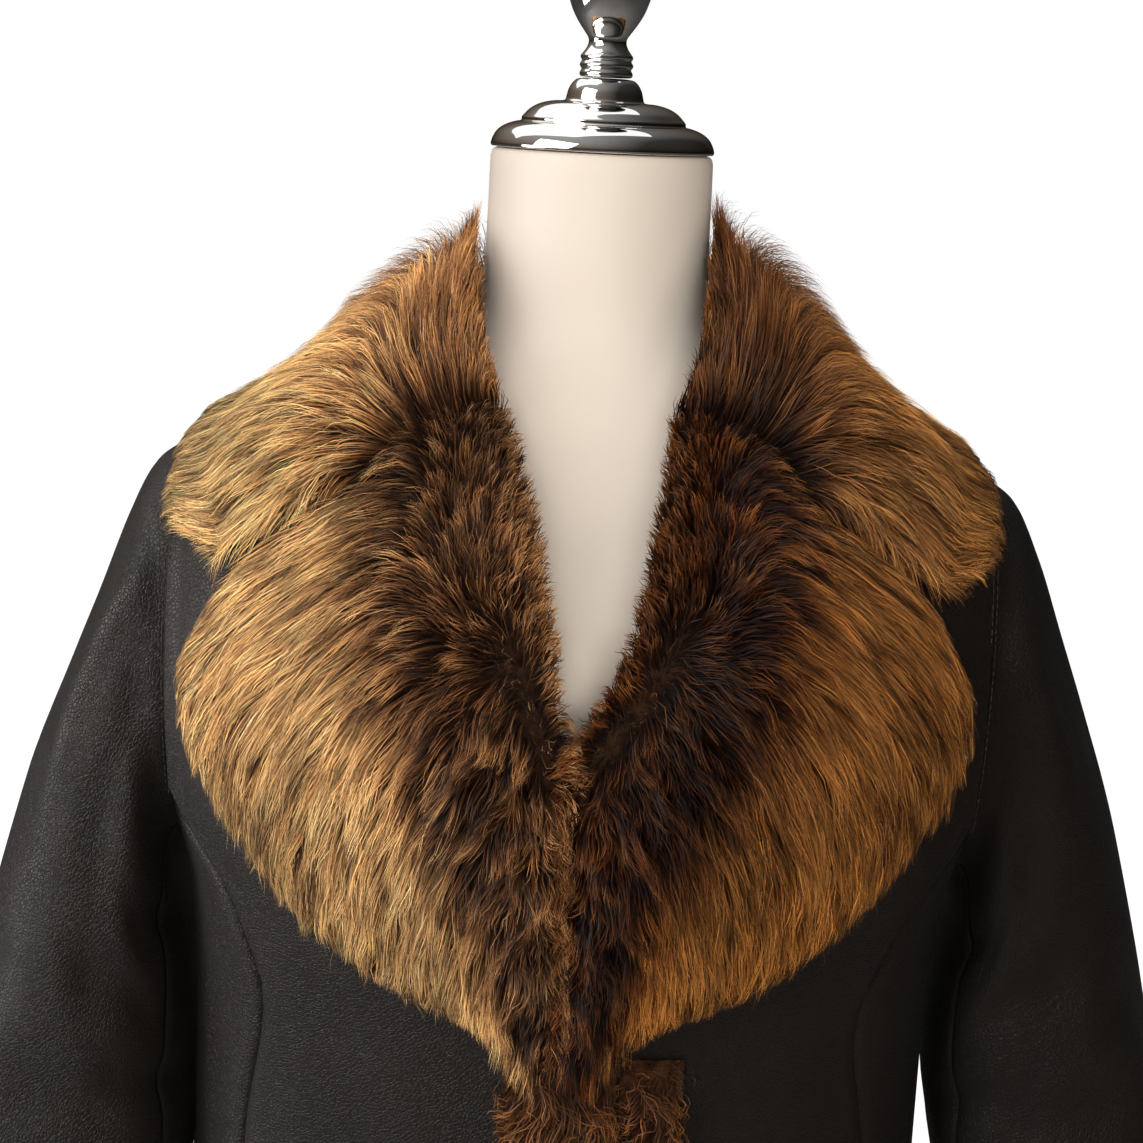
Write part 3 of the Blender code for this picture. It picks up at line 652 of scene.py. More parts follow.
SHARP_ANGLE = 50.0
# A stitch's cross-section and its stations along, as shares of its half thickness and of its length.
STITCH_SECTION: Rows = ((-1.0, -0.35), (-0.55, 0.45), (0.55, 0.45), (1.0, -0.35))
STITCH_STATIONS: Rows = ((-0.5, 0.5), (-0.3, 1.0), (0.3, 1.0), (0.5, 0.5))
STITCH_ENDS = ((3, 2, 1, 0), (12, 13, 14, 15))
SMALL_STEP = 1e-4
CORNER_CUTS: Range = (0.25, 0.75)
AXIS_RADIUS = 0.05 * MILLIMETRE
END_DRAW = 0.42


def new_mesh_object(
    name: str, points: Array, corners: Array, starts: Array, materials: Sequence[Material]
) -> Object:
    """A smooth-shaded mesh object from flat arrays.

    Args:
        name: the object's name.
        points: its points, n by 3.
        corners: the point of every face corner, face after face.
        starts: where each face's corners start.
        materials: its materials.

    Returns:
        The object, linked to the scene.
    """
    mesh = bpy.data.meshes.new(name)
    mesh.vertices.add(len(points))
    mesh.vertices.foreach_set("co", np.ascontiguousarray(points, np.float32).ravel())
    mesh.loops.add(len(corners))
    mesh.loops.foreach_set("vertex_index", np.ascontiguousarray(corners, np.int32))
    mesh.polygons.add(len(starts))
    mesh.polygons.foreach_set("loop_start", np.ascontiguousarray(starts, np.int32))
    mesh.update(calc_edges=True)
    mesh.shade_smooth()
    for material in materials:
        mesh.materials.append(material)
    thing = bpy.data.objects.new(name, mesh)
    bpy.context.scene.collection.objects.link(thing)
    return thing


def quad_object(
    name: str, points: Array, quads: Array, materials: Sequence[Material], slots: Array | None = None
) -> Object:
    """A mesh object whose faces are all quads.

    Args:
        name: the object's name.
        points: its points.
        quads: four points for each face.
        materials: its materials.
        slots: the material slot of each face.

    Returns:
        The object.
    """
    starts = np.arange(len(quads)) * 4
    thing = new_mesh_object(name, points, quads.ravel(), starts, materials)
    if slots is not None:
        thing.data.polygons.foreach_set("material_index", np.ascontiguousarray(slots, np.int32))
    return thing


def grid_quads(rows: int, columns: int, wrap: bool = False) -> Array:
    """The quads of a grid of points, row after row.

    Args:
        rows: how many rows.
        columns: how many points in each.
        wrap: whether the last column joins the first.

    Returns:
        Four point numbers for each quad.
    """
    across = columns if wrap else columns - 1
    row, column = np.meshgrid(np.arange(rows - 1), np.arange(across), indexing="ij")
    a = row * columns + column
    b = row * columns + (column + 1) % columns
    return np.stack([a, b, b + columns, a + columns], axis=-1).reshape(-1, 4)


def shell_object(
    name: str, outer: Array, inner: Array, materials: Sequence[Material]
) -> Object:
    """A closed thin shell between two grids of points.

    Args:
        name: the object's name.
        outer: the outer skin, rows by columns by 3.
        inner: the inner skin, the same.
        materials: the material of the outer skin and the rim and, if there are two, the inner skin's.

    Returns:
        The object.
    """
    rows, columns = outer.shape[:2]
    count = rows * columns
    face = grid_quads(rows, columns)
    index = np.arange(count).reshape(rows, columns)
    rim = np.concatenate([index[0, :], index[1:, -1], index[-1, -2::-1], index[-2:0:-1, 0]])
    following = np.roll(rim, -1)
    edge = np.stack([following, rim, rim + count, following + count], axis=-1)
    quads = np.concatenate([face, face[:, ::-1] + count, edge])
    inside = min(len(materials) - 1, 1)
    slots = np.concatenate([np.zeros(len(face)), np.full(len(face), inside), np.zeros(len(edge))])
    points = np.concatenate([outer.reshape(-1, 3), inner.reshape(-1, 3)])
    corner = points[quads[: len(face)]]
    facing = np.cross(corner[:, 2] - corner[:, 0], corner[:, 3] - corner[:, 1])
    away = (outer - inner).reshape(-1, 3)[quads[: len(face), 0]]
    if (facing * away).sum() < 0:
        quads = quads[:, ::-1]
    return quad_object(name, points, quads, materials, slots)


def tube_object(name: str, rings: Array, material: Material) -> Object:
    """A closed solid lofted through rings of points, with a flat face at each end.

    Args:
        name: the object's name.
        rings: rings by points by 3, each going round the same way.
        material: its material.

    Returns:
        The object.
    """
    count, sides = rings.shape[:2]
    quads = grid_quads(count, sides, wrap=True)
    end = np.arange(sides)
    corners = np.concatenate([quads.ravel(), end[::-1], end + (count - 1) * sides])
    starts = np.concatenate([np.arange(len(quads)) * 4, [len(quads) * 4, len(quads) * 4 + sides]])
    thing = new_mesh_object(name, rings.reshape(-1, 3), corners, starts, [material])
    thing.data.set_sharp_from_angle(angle=math.radians(SHARP_ANGLE))
    return thing


def along_line(at: Array, walked: Array, values: Array) -> Array:
    """The values of a line's points at some distances walked along it."""
    return np.stack([np.interp(at, walked, column) for column in values.T], axis=-1)


def stitch_object(
    name: str, paths: Sequence[tuple[Array, Array]], size: Triple, material: Material
) -> Object:
    """Sewing thread: a small rounded bar for every stitch along some paths.

    Args:
        name: the object's name.
        paths: for each run of stitches its points and the surface's normals there.
        size: a stitch's pitch, length and thickness.
        material: the thread.

    Returns:
        One joined object.
    """
    pitch, length, thick = size
    section = np.array(STITCH_SECTION) * thick / 2
    points, quads = [], []
    ring = grid_quads(len(STITCH_STATIONS), len(section), wrap=True)
    total = 0
    for line, normals in paths:
        walked = np.concatenate([[0.0], np.cumsum(np.linalg.norm(np.diff(line, axis=0), axis=1))])
        at = np.arange(pitch / 2, walked[-1], pitch)
        ahead = along_line(at + SMALL_STEP, walked, line)
        along = unit(ahead - along_line(at - SMALL_STEP, walked, line))
        up = unit(along_line(at, walked, normals))
        across = unit(np.cross(along, up))
        for here, forward, side, lift in zip(along_line(at, walked, line), along, across, up):
            for reach, swell in STITCH_STATIONS:
                for sideways, rise in section:
                    place = here + forward * reach * length
                    points.append(place + side * sideways * swell + lift * rise * swell)
            quads.append(ring + total)
            quads.append(np.array(STITCH_ENDS) + total)
            total += len(STITCH_STATIONS) * len(section)
    return quad_object(name, np.array(points), np.concatenate(quads), [material])


def turned_rings(profile: Rows, lift: float, sides: int, rounds: int) -> Array:
    """Rings of points turned about the Z axis from a profile in millimetres, with its corners eased.

    Args:
        profile: radius and height, from the axis to the axis.
        lift: the height that is added, in metres.
        sides: how many points go round.
        rounds: how often the corners are cut.

    Returns:
        Rings by points by 3.
    """
    line = np.array(profile) * MILLIMETRE
    for _ in range(rounds):
        near, far = (mix(line[:-1], line[1:], share) for share in CORNER_CUTS)
        cut = np.stack([near, far], axis=1).reshape(-1, 2)
        line = np.concatenate([line[:1], cut, line[-1:]])
    line[:, 0] = np.maximum(line[:, 0], AXIS_RADIUS)
    angle = np.linspace(0, 2 * math.pi, sides, endpoint=False)
    x = line[:, :1] * np.cos(angle)
    y = line[:, :1] * np.sin(angle)
    z = np.broadcast_to(line[:, 1:] + lift, x.shape)
    return np.stack([x, y, z], axis=-1)


def settle(thing: Object, slot: str, *nodes: str) -> None:
    """Hides the CAD nodes that a piece stands for, and ties it to the frame.

    Args:
        thing: the piece.
        slot: not used.
        *nodes: the CAD nodes that it stands for.
    """
    if nodes:
        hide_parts(*nodes)
    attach(thing, "root")


def settle_sheet(
    shell: Object, slot: str, node: str, lines: Array, skin: Array,
    least_fill: float = 0.0,
) -> None:
    """Logs a shell's flat cut size and area, and settles it.

    Args:
        shell: the piece.
        slot: passed on to settle, which does not use it.
        node: the CAD node that it stands for.
        lines: the grid of points that its flat size is measured on.
        skin: the grid of points that its area is measured on.
        least_fill: the least share of its flat rectangle that it fills.
    """
    across = np.linalg.norm(np.diff(lines, axis=1), axis=2).sum(axis=1)
    along = np.linalg.norm(np.diff(lines, axis=0), axis=2).sum(axis=0)
    patches = np.cross(np.diff(skin, axis=0)[:, :-1], np.diff(skin, axis=1)[:-1])
    area = float(np.linalg.norm(patches, axis=2).sum())
    width, length = float(across.max()), float(along.max())
    area = min(max(area, least_fill * width * length), width * length)
    settle(shell, slot, node)
    LOG.info("%s: cut %.3f by %.3f m, %.3f square metres", shell.name, width, length, area)


def drawn_together(from_end: Array, wall: float, rounding: float) -> Array:
    """How many metres both skins of a wall draw together, over its rounding, to round its end."""
    short = np.clip(1 - from_end / rounding, 0.0, 1.0)
    return wall * END_DRAW * (1 - np.sqrt(1 - short**2))


# ---------------------------------------------------------------- shader nodes


class Nodes:
    """A short way to add and join the nodes of one tree."""

    def __init__(self, tree: NodeTree) -> None:
        """Holds the tree that the nodes go into."""
        self.tree = tree

    def add(
        self, kind: str, settings: dict[str, object] | None = None, **inputs: object
    ) -> Node:
        """A new node.

        Args:
            kind: the node's type, such as ShaderNodeTexNoise.
            settings: its properties.
            **inputs: its inputs by name, with _ for a space: a value, or a socket to join.

        Returns:
            The node.
        """
        node = self.tree.nodes.new(kind)
        for name, value in (settings or {}).items():
            setattr(node, name, value)
        for name, value in inputs.items():
            self.feed(node.inputs[name.replace("_", " ")], value)
        return node

    def feed(self, socket: Socket, value: object) -> None:
        """Joins a socket to an input, or sets the input's value.

        Args:
            socket: the input.
            value: a socket or a value.
        """
        if isinstance(value, Socket):
            self.tree.links.new(value, socket)
        else:
            socket.default_value = value

    def maths(self, operation: str, first: object, second: object) -> Socket:
        """One sum on two values or sockets.

        Args:
            operation: which sum, such as MULTIPLY.
            first: a value or socket.
            second: a value or socket.

        Returns:
            The result's socket.
        """
        node = self.add("ShaderNodeMath", {"operation": operation})
        self.feed(node.inputs[0], first)
        self.feed(node.inputs[1], second)
        return node.outputs[0]

    def range(self, value: object, source: Range, target: Range = (0.0, 1.0)) -> Socket:
        """A value moved from one range to another, and kept in it.

        Args:
            value: a value or socket.
            source: the range that it has.
            target: the range that it gets.

        Returns:
            The result's socket.
        """
        node = self.add("ShaderNodeMapRange", {"clamp": True})
        names = ("Value", "From Min", "From Max", "To Min", "To Max")
        for name, given in zip(names, (value, *source, *target)):
            self.feed(node.inputs[name], given)
        return node.outputs["Result"]

    def colours(self, share: object, first: object, second: object) -> Socket:
        """Two colours or sockets mixed.

        Args:
            share: how much of the second.
            first: a colour or socket.
            second: a colour or socket.

        Returns:
            The result's socket.
        """
        node = self.add("ShaderNodeMix", {"data_type": "RGBA"})
        sockets = {socket.identifier: socket for socket in node.inputs}
        self.feed(sockets["Factor_Float"], share)
        self.feed(sockets["A_Color"], as_rgba(first))
        self.feed(sockets["B_Color"], as_rgba(second))
        return next(socket for socket in node.outputs if socket.identifier == "Result_Color")


def as_rgba(value: object) -> object:
    """A colour of three numbers with its alpha added; anything else as it is."""
    return (*value, 1.0) if isinstance(value, tuple) and len(value) == 3 else value


def new_group(
    name: str, takes: dict[str, float], gives: Sequence[str]
) -> tuple[NodeTree, Nodes]:
    """An empty shader node group with its sockets.

    Args:
        name: the group's name.
        takes: its inputs, each a number with its usual value, after a Vector input.
        gives: its outputs, each a number.

    Returns:
        The group and a way to fill it.
    """
    group = bpy.data.node_groups.new(name, "ShaderNodeTree")
    group.interface.new_socket("Vector", in_out="INPUT", socket_type="NodeSocketVector")
    for word, usual in takes.items():
        socket = group.interface.new_socket(word, in_out="INPUT", socket_type="NodeSocketFloat")
        socket.default_value = usual
    for word in gives:
        group.interface.new_socket(word, in_out="OUTPUT", socket_type="NodeSocketFloat")
    return group, Nodes(group)


@dataclass
class Effects:
    """The shared effects, each built once as a shader node group."""

    pebble: NodeTree = field(init=False)
    wool: NodeTree = field(init=False)
    wear: NodeTree = field(init=False)

    def __post_init__(self) -> None:
        """Builds the groups."""
        self.pebble = self._pebble()
        self.wool = self._wool()
        self.wear = self._wear()

    @staticmethod
    def _pebble() -> NodeTree:
        """Leather grain: small uneven pebbles parted by fine valleys, with a slow stretch over them.

        Returns:
            The group.
        """
        group, nodes = new_group("pebble_grain", {"Scale": 700.0, "Stretch": 0.35}, ("Height", "Valley"))
        start = nodes.add("NodeGroupInput")
        slow = nodes.add("ShaderNodeTexNoise", Vector=start.outputs["Vector"], Scale=26.0, Detail=2.0)
        bent = nodes.add("ShaderNodeVectorMath", {"operation": "MULTIPLY_ADD"})
        nodes.feed(bent.inputs[0], slow.outputs["Color"])
        nodes.feed(bent.inputs[1], (0.004, 0.004, 0.004))
        nodes.feed(bent.inputs[2], start.outputs["Vector"])
        scale = start.outputs["Scale"]
        bend = bent.outputs[0]
        cells = nodes.add("ShaderNodeTexVoronoi", {"feature": "DISTANCE_TO_EDGE"}, Vector=bend, Scale=scale)
        small = nodes.add("ShaderNodeTexVoronoi", {"feature": "SMOOTH_F1"}, Vector=bend)
        nodes.feed(small.inputs["Scale"], nodes.maths("MULTIPLY", scale, 1.9))
        valley = nodes.range(cells.outputs["Distance"], (0.0, 0.16), (1.0, 0.0))
        fine = nodes.range(small.outputs["Distance"], (0.0, 0.7), (1.0, 0.0))
        plain = nodes.range(slow.outputs["Fac"], (0.35, 0.65))
        depth = nodes.maths("SUBTRACT", 1.0, nodes.maths("MULTIPLY", plain, start.outputs["Stretch"]))
        pebbles = nodes.maths("MULTIPLY", fine, 0.4)
        height = nodes.maths("SUBTRACT", pebbles, nodes.maths("MULTIPLY", valley, 0.8))
        end = nodes.add("NodeGroupOutput")
        nodes.feed(end.inputs["Height"], nodes.maths("MULTIPLY", height, depth))
        nodes.feed(end.inputs["Valley"], nodes.maths("MULTIPLY", valley, depth))
        return group

    @staticmethod
    def _wool() -> NodeTree:
        """Short curly wool: tufts, with painted shade in the gaps between them.

        Returns:
            The group.
        """
        group, nodes = new_group("wool_tufts", {"Scale": 160.0}, ("Height", "Gap"))
        start = nodes.add("NodeGroupInput")
        curl = nodes.add("ShaderNodeTexNoise", Vector=start.outputs["Vector"], Detail=4.0, Distortion=1.6)
        nodes.feed(curl.inputs["Scale"], start.outputs["Scale"])
        tuft = nodes.add("ShaderNodeTexVoronoi", {"feature": "SMOOTH_F1"}, Vector=start.outputs["Vector"])
        nodes.feed(tuft.inputs["Scale"], start.outputs["Scale"])
        gap = nodes.range(tuft.outputs["Distance"], (0.35, 0.8))
        end = nodes.add("NodeGroupOutput")
        nodes.feed(end.inputs["Height"], nodes.maths("SUBTRACT", curl.outputs["Fac"], gap))
        nodes.feed(end.inputs["Gap"], gap)
        return group

    @staticmethod
    def _wear() -> NodeTree:
        """Handling: slow patches where a surface is rubbed or dusty.

        Returns:
            The group.
        """
        group, nodes = new_group("handling", {"Scale": 9.0}, ("Patch", "Speck"))
        start = nodes.add("NodeGroupInput")
        slow = nodes.add("ShaderNodeTexNoise", Vector=start.outputs["Vector"], Detail=5.0, Roughness=0.6)
        nodes.feed(slow.inputs["Scale"], start.outputs["Scale"])
        quick = nodes.add("ShaderNodeTexNoise", Vector=start.outputs["Vector"], Detail=3.0)
        nodes.feed(quick.inputs["Scale"], nodes.maths("MULTIPLY", start.outputs["Scale"], 14.0))
        end = nodes.add("NodeGroupOutput")
        nodes.feed(end.inputs["Patch"], nodes.range(slow.outputs["Fac"], (0.35, 0.68)))
        nodes.feed(end.inputs["Speck"], nodes.range(quick.outputs["Fac"], (0.52, 0.72)))
        return group


def new_material(name: str) -> tuple[Material, Nodes, Node]:
    """An empty material with its Principled shader.

    Args:
        name: the material's name.

    Returns:
        The material, a way to fill it and its shader.
    """
    material = bpy.data.materials.new(name)
    material.use_nodes = True
    return material, Nodes(material.node_tree), material.node_tree.nodes["Principled BSDF"]


def place_group(nodes: Nodes, group: NodeTree, **inputs: object) -> Node:
    """A shared effect placed in a material, on the object's own coordinates.

    Args:
        nodes: the material's nodes.
        group: the effect.
        **inputs: its inputs.

    Returns:
        The group node.
    """
    node = nodes.add("ShaderNodeGroup", {"node_tree": group})
    place = nodes.add("ShaderNodeTexCoord")
    nodes.feed(node.inputs["Vector"], place.outputs["Object"])
    for name, value in inputs.items():
        nodes.feed(node.inputs[name], value)
    return node


def add_bump(
    nodes: Nodes, shader: Node, height: Socket, depth: float, strength: float
) -> None:
    """Gives a shader relief from a height, with its depth in metres and its strength."""
    bump = nodes.add("ShaderNodeBump", Strength=strength, Distance=depth, Height=height)
    nodes.feed(shader.inputs["Normal"], bump.outputs["Normal"])


def set_inputs(
    shader: Node, specular: float, sheen: float = 0.0, sheen_roughness: float = 0.5
) -> None:
    """Sets a shader's plain values.

    Args:
        shader: the shader.
        specular: how strongly it reflects.
        sheen: how much soft sheen it has.
        sheen_roughness: how wide that sheen is.
    """
    shader.inputs["Specular IOR Level"].default_value = specular
    shader.inputs["Sheen Weight"].default_value = sheen
    shader.inputs["Sheen Roughness"].default_value = sheen_roughness


@dataclass(frozen=True)
class LeatherFinish:
    """Dark brown leather with a fine pebbled grain and a soft sheen."""

    colour: Colour = (0.0036, 0.0024, 0.0018)
    rubbed: Colour = (0.0080, 0.0058, 0.0050)
    valley: Colour = (0.002, 0.0014, 0.001)
    rubbed_share: float = 0.55
    valley_share: float = 0.6
    roughness: Range = (0.40, 0.50)
    valley_roughness: float = 0.16
    grain_scale: float = 560.0
    wear_scale: float = 7.0
    grain_depth: float = 0.00040
    grain_strength: float = 0.9

    def material(self, name: str, effects: Effects) -> Material:
        """The finish as a material.

        Args:
            name: the material's name.
            effects: the shared node groups.

        Returns:
            The material.
        """
        material, nodes, shader = new_material(name)
        grain = place_group(nodes, effects.pebble, Scale=self.grain_scale)
        wear = place_group(nodes, effects.wear, Scale=self.wear_scale)
        tone = nodes.maths("MULTIPLY", wear.outputs["Patch"], self.rubbed_share)
        colour = nodes.colours(tone, self.colour, self.rubbed)
        deep = nodes.maths("MULTIPLY", grain.outputs["Valley"], self.valley_share)
        nodes.feed(shader.inputs["Base Color"], nodes.colours(deep, colour, self.valley))
        rough = nodes.range(wear.outputs["Patch"], (0.0, 1.0), self.roughness[::-1])
        dull = nodes.maths("MULTIPLY", grain.outputs["Valley"], self.valley_roughness)
        nodes.feed(shader.inputs["Roughness"], nodes.maths("ADD", rough, dull))
        add_bump(nodes, shader, grain.outputs["Height"], self.grain_depth, self.grain_strength)
        set_inputs(shader, specular=0.55, sheen=0.01, sheen_roughness=0.5)
        return material


@dataclass(frozen=True)
class WoolFinish:
    """Short wool: the shorn inside of the coat, or the dark wool at the roots of the long fur."""

    tuft: Colour
    # Painted shade: the colour in the gaps between tufts.
    gap: Colour
    scale: float = 230.0
    depth: float = 0.0016
    wear_scale: float = 22.0
    shading: Range = (0.72, 1.0)
    roughness: float = 0.95

    def material(self, name: str, effects: Effects) -> Material:
        """The finish as a material.

        Args:
            name: the material's name.
            effects: the shared node groups.

        Returns:
            The material.
        """
        material, nodes, shader = new_material(name)
        wool = place_group(nodes, effects.wool, Scale=self.scale)
        wear = place_group(nodes, effects.wear, Scale=self.wear_scale)
        # Painted shade in the gaps between tufts.
        colour = nodes.colours(wool.outputs["Gap"], self.tuft, self.gap)
        shade = nodes.range(wear.outputs["Patch"], (0.0, 1.0), self.shading)
        dull = nodes.add("ShaderNodeHueSaturation", Value=shade, Color=colour)
        nodes.feed(shader.inputs["Base Color"], dull.outputs["Color"])
        add_bump(nodes, shader, wool.outputs["Height"], self.depth, 1.0)
        shader.inputs["Roughness"].default_value = self.roughness
        set_inputs(shader, specular=0.15, sheen=0.03, sheen_roughness=0.45)
        return material


@dataclass(frozen=True)
class HairFinish:
    """Long hair whose colour, from dark root to tan tip, with its painted light and shade, is kept with
    each strand.
    """

    roughness: float = 0.50
    specular: float = 0.24
    sheen: float = 0.04
    sheen_roughness: float = 0.4

    def material(self, name: str) -> Material:
        """The finish as a material.

        Args:
            name: the material's name.

        Returns:
            The material.
        """
        material, nodes, shader = new_material(name)
        settings = {"attribute_name": "strand_colour", "attribute_type": "GEOMETRY"}
        kept = nodes.add("ShaderNodeAttribute", settings)
        nodes.feed(shader.inputs["Base Color"], kept.outputs["Color"])
        shader.inputs["Roughness"].default_value = self.roughness
        set_inputs(shader, self.specular, self.sheen, self.sheen_roughness)
        return material


@dataclass(frozen=True)
class CoverFinish:
    """The form's smooth off-white cover, a little uneven and with faint marks of use."""

    colour: Colour = (0.56, 0.505, 0.455)
    warm: Colour = (0.56, 0.48, 0.39)
    warm_share: float = 0.35
    roughness: Range = (0.42, 0.54)
    mark_depth: float = 0.0003
    mark_strength: float = 0.25
    wear_scale: float = 5.0

    def material(self, name: str, effects: Effects) -> Material:
        """The finish as a material.

        Args:
            name: the material's name.
            effects: the shared node groups.

        Returns:
            The material.
        """
        material, nodes, shader = new_material(name)
        wear = place_group(nodes, effects.wear, Scale=self.wear_scale)
        share = nodes.maths("MULTIPLY", wear.outputs["Patch"], self.warm_share)
        nodes.feed(shader.inputs["Base Color"], nodes.colours(share, self.colour, self.warm))
        rough = nodes.range(wear.outputs["Patch"], (0.0, 1.0), self.roughness)
        nodes.feed(shader.inputs["Roughness"], rough)
        add_bump(nodes, shader, wear.outputs["Speck"], self.mark_depth, self.mark_strength)
        set_inputs(shader, specular=0.4)
        return material


@dataclass(frozen=True)
class MetalFinish:
    """Plated metal: polished chrome, or the stand's satin steel."""

    colour: Colour
    roughness: Range
    tarnish: Colour = (0.45, 0.42, 0.38)
    tarnish_share: float = 0.12
    wear_scale: float = 30.0

    def material(self, name: str, effects: Effects) -> Material:
        """The finish as a material.

        Args:
            name: the material's name.
            effects: the shared node groups.

        Returns:
            The material.
        """
        material, nodes, shader = new_material(name)
        wear = place_group(nodes, effects.wear, Scale=self.wear_scale)
        share = nodes.maths("MULTIPLY", wear.outputs["Speck"], self.tarnish_share)
        nodes.feed(shader.inputs["Base Color"], nodes.colours(share, self.colour, self.tarnish))
        rough = nodes.range(wear.outputs["Patch"], (0.0, 1.0), self.roughness)
        nodes.feed(shader.inputs["Roughness"], rough)
        shader.inputs["Metallic"].default_value = 1.0
        return material


@dataclass(frozen=True)
class PlainFinish:
    """Thread or floor: one colour with a fine uneven tone."""

    colour: Colour
    second: Colour
    roughness: float
    scale: float

    def material(self, name: str, effects: Effects) -> Material:
        """The finish as a material.

        Args:
            name: the material's name.
            effects: the shared node groups.

        Returns:
            The material.
        """
        material, nodes, shader = new_material(name)
        wear = place_group(nodes, effects.wear, Scale=self.scale)
        colour = nodes.colours(wear.outputs["Patch"], self.colour, self.second)
        nodes.feed(shader.inputs["Base Color"], colour)
        shader.inputs["Roughness"].default_value = self.roughness
        set_inputs(shader, specular=0.25)
        return material


@dataclass
class Finishes:
    """Every material of the object, made once."""

    effects: Effects
    leather: Material = field(init=False)
    fleece: Material = field(init=False)
    underwool: Material = field(init=False)
    trim_underwool: Material = field(init=False)
    hair: Material = field(init=False)
    cover: Material = field(init=False)
    chrome: Material = field(init=False)
    steel: Material = field(init=False)
    thread: Material = field(init=False)

    def __post_init__(self) -> None:
        """Makes the materials."""
        effects = self.effects
        # The second colour of each wool is painted shade in the gaps between its tufts.
        shorn = WoolFinish((0.20, 0.11, 0.055), (0.05, 0.025, 0.012))
        under = WoolFinish((0.026, 0.012, 0.006), (0.006, 0.003, 0.002))
        trim_under = WoolFinish((0.040, 0.015, 0.006), (0.008, 0.003, 0.002))
        chrome = MetalFinish((0.86, 0.85, 0.83), (0.03, 0.09))
        steel = MetalFinish((0.68, 0.67, 0.65), (0.22, 0.32))
        thread = PlainFinish((0.020, 0.015, 0.014), (0.045, 0.034, 0.030), 0.6, 400.0)
        self.leather = LeatherFinish().material("coat_leather", effects)
        self.fleece = shorn.material("shorn_wool", effects)
        self.underwool = under.material("dark_underwool", effects)
        self.trim_underwool = trim_under.material("trim_underwool", effects)
        self.hair = HairFinish().material("long_fur")
        self.cover = CoverFinish().material("form_cover", effects)
        self.chrome = chrome.material("polished_chrome", effects)
        self.steel = steel.material("satin_steel", effects)
        self.thread = thread.material("waxed_thread", effects)


# ---------------------------------------------------------------- the leather body

# Further than anything on the coat, in metres, and how many places mark half the side panel's top edge.
FAR = 1.0
EDGE_PLACES = 30


def leather_sheet(name: str, outer: Array, inner: Array, finishes: Finishes) -> None:
    """Builds and settles a leather piece with its wool side, for the CAD node of that name."""
    shell = shell_object(name + "_leather", outer, inner, [finishes.leather, finishes.fleece])
    settle_sheet(shell, "coat_leather", name, outer, outer)


